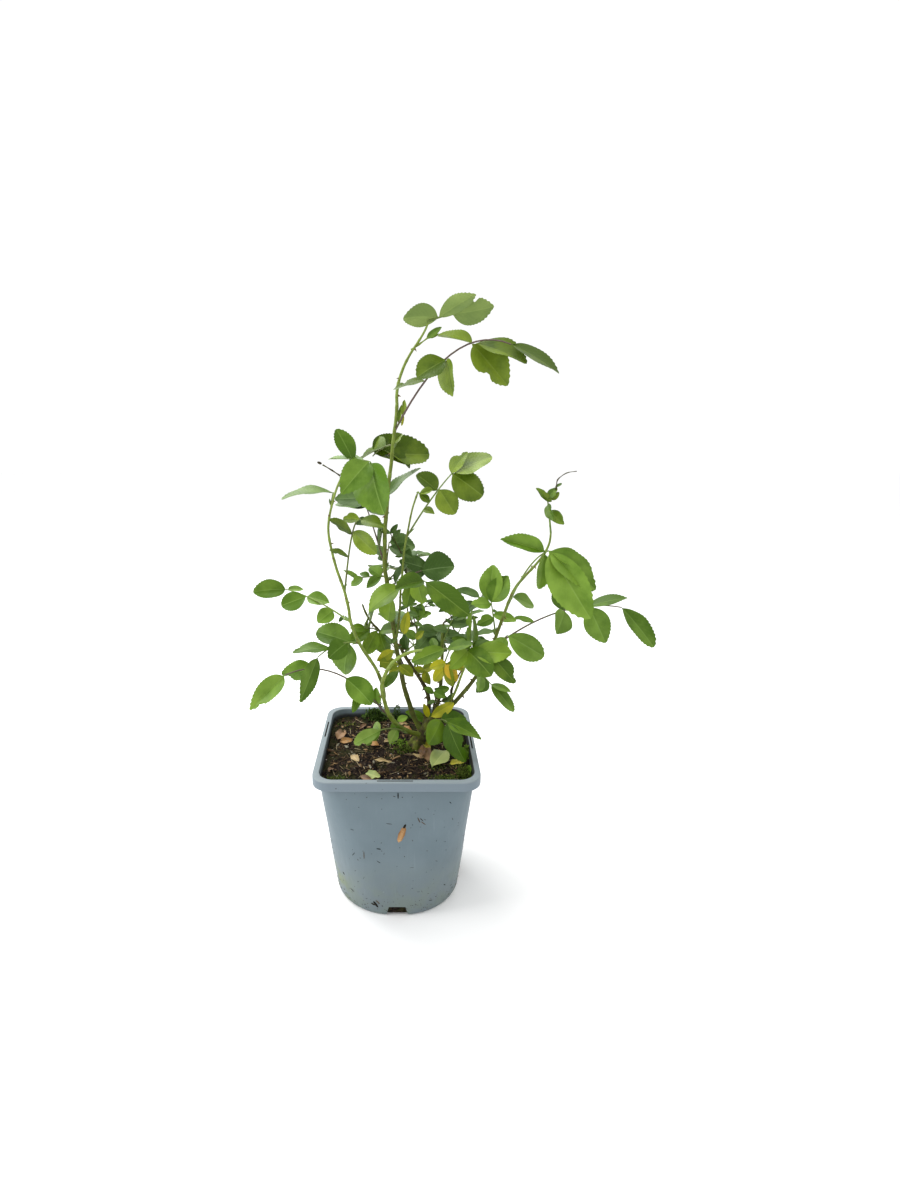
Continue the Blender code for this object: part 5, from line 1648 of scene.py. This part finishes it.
def make_single_leaves():
    """One piece for each tint; the leaves of the twigs are dark."""
    rng = np.random.default_rng(81)
    for tint in sorted({leaf[3] for leaf in SINGLE_LEAVES}):
        leaves = [single_leaf(*leaf[:3], *leaf[4:]) for leaf in SINGLE_LEAVES if leaf[3] == tint]
        leaves += twig_leaves(rng) if tint == "dark" else []
        pile = Pile()
        add_leaves(pile, leaves, rng, bites=0.1)
        pile.piece(f"single_leaves_{tint}", LEAF_FINISHES[tint], "foliage")


make_single_leaves()

# %% [markdown]
# A fallen leaf is the same leaflet laid on the compost: its two ends take the
# compost's height and it faces up.  Moss and small weeds are spindles of eight
# faces, thick in the middle and pointed at both ends, dealt out over a few
# patches; how far they lean from upright is chance, too.

# %% Fallen leaves
# foot x, y, tip x, y, height of the tip over the compost, width over length, kind
FALLEN_FOOT = 3.0            # height of a fallen leaf's foot over the compost
FALLEN = (
    (43, -46, 64, -12, 10, 0.62, "pale"), (37, -2, 45, -44, 6, 0.34, "brown"),
    (34, 2, 30, -30, 7, 0.3, "brown"), (66, -41, 86, -36, 4, 0.42, "yellow"),
    (-57, -18, -50, -34, 3, 0.55, "straw"), (-50, 24, -38, 19, 4, 0.6, "brown"),
    (-80, 20, -72, 46, 4, 0.55, "brown"), (-76, 14, -60, 22, 3.5, 0.55, "orange"),
    (-24, 4, -40, 8, 3.5, 0.5, "orange"), (-38, -60, -22, -73, 7, 0.55, "pale"),
    (-44, -66, -30, -76, 4, 0.4, "brown"), (34, 10, 42, -3, 4, 0.6, "yellow"),
    (-18, 8, -8, 20, 3, 0.35, "straw"), (8, 54, 18, 43, 3, 0.45, "orange"),
    (-2, 60, 14, 64, 5, 0.32, "straw"), (-7, 82, -12, 70, 22, 0.3, "pale"),
    (-52, 52, -44, 62, 3, 0.5, "brown"), (-84, -58, -78, -44, 3, 0.4, "brown"),
    (20, -20, 34, -28, 3, 0.26, "straw"), (-30, -30, -6, -34, 3.5, 0.2, "straw"),
)
# dark and light colour of each kind
FALLEN_COLOURS = {
    "pale": ((0.23, 0.29, 0.09), (0.42, 0.45, 0.15)),
    "yellow": ((0.28, 0.26, 0.02), (0.56, 0.5, 0.06)),
    "orange": ((0.26, 0.13, 0.04), (0.52, 0.3, 0.11)),
    "straw": ((0.33, 0.24, 0.11), (0.62, 0.48, 0.24)),
    "brown": ((0.11, 0.058, 0.026), (0.3, 0.17, 0.08)),
}


def fallen_leaf(x, y, tip_x, tip_y, tip_up, wide):
    foot = (x, y, float(soil_height(x, y)) + FALLEN_FOOT)
    tip = (tip_x, tip_y, float(soil_height(tip_x, tip_y)) + tip_up)
    return single_leaf(foot, tip, wide, (0.0, -0.35, 1.0))


def make_fallen():
    rng = np.random.default_rng(82)
    pile, finishes = Pile(), []
    for number, (kind, colours) in enumerate(FALLEN_COLOURS.items()):
        leaves = [fallen_leaf(*row[:6]) for row in FALLEN if row[6] == kind]
        add_leaves(pile, leaves, rng, finishes=(number, number), curl=0.16, fold=28.0, wave=0.05, bites=0.5)
        finishes.append(make_leaf_finish(f"fallen_{kind}", *colours))
    pile.piece("fallen_leaves", finishes, "foliage")


make_fallen()

# %% Moss and weeds on the compost
SPINDLE = np.array([(0, 0, 0), (0.45, 0.5, 0), (0.45, -0.5, 0), (0.4, 0, 0.18), (0.4, 0, -0.18), (1, 0, 0)])
SPINDLE_FACES = ((0, 1, 3), (0, 3, 2), (0, 2, 4), (0, 4, 1), (5, 3, 1), (5, 2, 3), (5, 4, 2), (5, 1, 4))

# centre x, y, half size x, y, height of the clump, count, shortest and longest blade, kind
PATCHES = (
    (-34, 80, 17, 7, 17.0, 620, 2.5, 5.5, "dark"),
    (-26, 83, 6, 4, 30.0, 130, 2.5, 5.0, "dark"),
    (-2, 84, 7, 4, 24.0, 200, 2.5, 5.0, "dark"),
    (14, 80, 10, 5, 9.0, 160, 2.0, 4.0, "dark"),
    (82, -60, 12, 18, 4.0, 620, 1.8, 4.2, "moss"),
    (60, -70, 22, 9, 3.0, 380, 1.6, 3.6, "moss"),
    (93, -55, 4, 10, 7.0, 110, 2.5, 5.0, "weed"),
    (91, -12, 5, 12, 11.0, 190, 3.0, 6.0, "weed"),
    (8, -4, 17, 13, 3.5, 420, 1.6, 3.8, "moss"),
    (2, 12, 12, 8, 5.0, 90, 3.0, 5.5, "weed"),
    (-74, -72, 18, 8, 2.0, 220, 1.5, 3.2, "moss"),
    (-70, 60, 16, 18, 1.5, 160, 1.5, 3.0, "moss"),
    (50, -44, 16, 8, 2.0, 120, 1.5, 3.0, "moss"),
)
PATCH_COLOURS = {
    "dark": ((0.022, 0.048, 0.006), (0.095, 0.165, 0.03)),
    "moss": ((0.03, 0.05, 0.006), (0.14, 0.19, 0.03)),
    "weed": ((0.105, 0.2, 0.014), (0.24, 0.37, 0.06)),
}


def spindles(rng, x, y, half_x, half_y, high, count, shortest, longest):
    """Many spindles of one patch as points (spindle, point, xyz); the clump is a low dome."""
    spread = rng.normal(0, 0.42, (count, 2)).clip(-1, 1)
    place = spread * (half_x, half_y) + (x, y)
    place = place.clip(-89.0, 89.0)
    dome = np.clip(1 - (spread ** 2).sum(axis=1), 0.1, 1)
    level = soil_height(place[:, 0], place[:, 1]) + 0.4 + rng.uniform(0, 1, count) * dome * high
    length = rng.uniform(shortest, longest, count)
    heading, rise = rng.uniform(0, 2 * math.pi, count), rng.uniform(0.2, 1.3, count)
    matrix = turn_matrix(heading, -rise, rng.uniform(-0.8, 0.8, count))
    shape = SPINDLE * np.array([1.0, 0.42, 0.42])
    turned = np.einsum("nij,kj->nki", matrix, shape) * length[:, None, None]
    return turned + np.stack([place[:, 0], place[:, 1], level], axis=-1)[:, None]


def make_moss():
    rng = np.random.default_rng(83)
    pile, finishes = Pile(), []
    for number, (kind, colours) in enumerate(PATCH_COLOURS.items()):
        for patch in (row for row in PATCHES if row[8] == kind):
            blades = spindles(rng, *patch[:8])
            for points, tone in zip(blades, rng.uniform(0, 1, len(blades))):
                pile.add(points, SPINDLE_FACES, finish=number, tone=tone)
        finishes.append(litter_finish(f"tuft_{kind}", *colours))
    pile.piece("moss_and_weeds", finishes, "foliage", crease=75)


make_moss()

# %% [markdown]
# The marks on the pot's wall, all but the first, are real crumbs: flat flakes that lie on the wall
# from one place to another, given as x and z on the front.  The first is painted shade: a dark
# flake over the moulded notch under the front lip.  A seed husk is a fatter flake.  Smaller
# crumbs are dealt out by chance round all four sides, more of them near the foot.

# %% Marks on the wall
# start x, z, end x, z, width in mm, 0 dark to 1 light
FRONT_MARKS = (
    # the first mark is painted shade: a dark flake over the moulded notch under the front lip
    (2, 186, 2, 177, 1.5, 0.0), (-4, 181, -1, 180, 0.9, 0.2), (62, 174, 65, 170, 1.6, 0.0),
    (25, 151, 28, 143, 1.5, 0.35), (28, 150, 32, 145, 1.1, 0.1), (29, 145, 35, 140, 1.4, 0.5),
    (-13, 142, -5, 141, 0.8, 0.2), (-25, 105, -19, 104, 1.5, 0.0), (-40, 101, -40, 89, 1.0, 0.45),
    (-55, 92, -51, 98, 0.8, 0.1), (-25, 87, -20, 83, 0.9, 0.1), (14, 76, 23, 77, 0.7, 0.3),
    (-30, 22, -24, 12, 3.4, 0.0), (-33, 18, -28, 15, 2.6, 0.1), (-27, 24, -22, 19, 1.8, 0.6),
    (-69, 53, -67, 49, 1.8, 0.0), (59, 38, 62, 34, 1.6, 0.0), (66, 150, 68, 144, 0.8, 0.2),
    (-60, 30, -55, 27, 1.4, 0.1), (40, 20, 45, 18, 1.2, 0.1),
)
HUSK = (2, 114, 10, 138, 8.0)
CRUMBS_A_SIDE = 90
FLAKE_LIFT, FLAKE_OFF, FLAKE_SUNK = 0.35, 0.15, 0.6    # middle over the ring, ring off the wall, foot in it


def wall_point(x, z, out):
    """A place on the front wall, pushed out from it."""
    half, corner, _ = body_level(z)
    beyond = np.maximum(np.abs(x) - (half - corner), 0.0)
    depth = half - corner + np.sqrt(np.maximum(corner ** 2 - beyond ** 2, 0.0))
    return np.stack([x, -depth - out, z], axis=-1)


def wall_flake(x, z, end_x, end_z, width, thick=FLAKE_LIFT):
    """A spindle-shaped flake on the wall: a ring of eight, a point under and a point over it."""
    ring, angle = np.arange(8), np.arange(8) * math.pi / 4
    start, end = np.array((x, z), float), np.array((end_x, end_z), float)
    along, middle = (end - start) / 2, (start + end) / 2
    across = np.array((-along[1], along[0])) / np.linalg.norm(along) * width / 2
    edge = middle + np.cos(angle)[:, None] * along + np.sin(angle)[:, None] * across
    flat = np.concatenate([edge, middle[None], middle[None]])
    out = np.concatenate([np.zeros(8), [-FLAKE_SUNK, thick]])
    faces = np.concatenate([fan_faces(ring, 9), fan_faces(ring, 8, flip=True)])
    return wall_point(flat[:, 0], flat[:, 1], out + FLAKE_OFF), faces.tolist()


def make_wall_marks():
    """The measured marks, the husk, and chance crumbs on each side in turn."""
    rng = np.random.default_rng(84)
    pile = Pile()
    for *place, width, tone in FRONT_MARKS:
        pile.add(*wall_flake(*place, width), tone=tone)
    # the husk's own tan with darker brown edges, and painted shade over it: its long sides darker and its
    # middle lighter, so the flat flake looks round
    husk_tone_and_shade = np.array([0.2, 0.4, 0.1, 0.6, 1.0, 0.5, 0.1, 0.2, 0.1, 0.9])
    pile.add(*wall_flake(*HUSK, thick=2.6), finish=1, tone=husk_tone_and_shade)
    pile.add(*wall_flake(8, 134, 11, 141, 3.0, thick=1.6), tone=0.0)
    for quarter in range(4):
        for _ in range(CRUMBS_A_SIDE):
            x, z = rng.uniform(-62, 62), 8 + 178 * rng.uniform() ** 2.2
            turn, length = rng.uniform(0, 2 * math.pi), rng.gamma(2.0, 0.55) + 0.5
            points, faces = wall_flake(x, z, x + length * math.cos(turn), z + length * math.sin(turn),
                                       rng.uniform(0.5, 1.0))
            pile.add(turn_quarter(points, quarter), faces, tone=rng.uniform(0, 0.35))
    finishes = [litter_finish("crumb", (0.016, 0.015, 0.012), (0.2, 0.13, 0.07)),
                litter_finish("husk", (0.17, 0.075, 0.026), (0.56, 0.35, 0.17))]
    pile.piece("wall_marks", finishes, "compost", crease=50)


def make_slot_shade():
    """Painted shade: a near-black fill in the slots of the rim, for the shadow inside them."""
    pile = Pile()
    long, wide, deep = RIM_SLIT[0] + 0.2, RIM_SLIT[1] + 0.2, 3.2
    for quarter, shift in enumerate(SLIT_SHIFTS):
        points, faces = block((shift, SLIT_MIDDLE, POT_HEIGHT - 0.35 - deep / 2), (long, wide, deep))
        pile.add(turn_quarter(points, quarter), faces, tone=0.3)
    # the fill's near-black finish is painted shade
    pile.piece("slot_shade", [litter_finish("slot_shade_fill", (0.006, 0.006, 0.005), (0.03, 0.026, 0.02))], "compost")


make_wall_marks()
make_slot_shade()
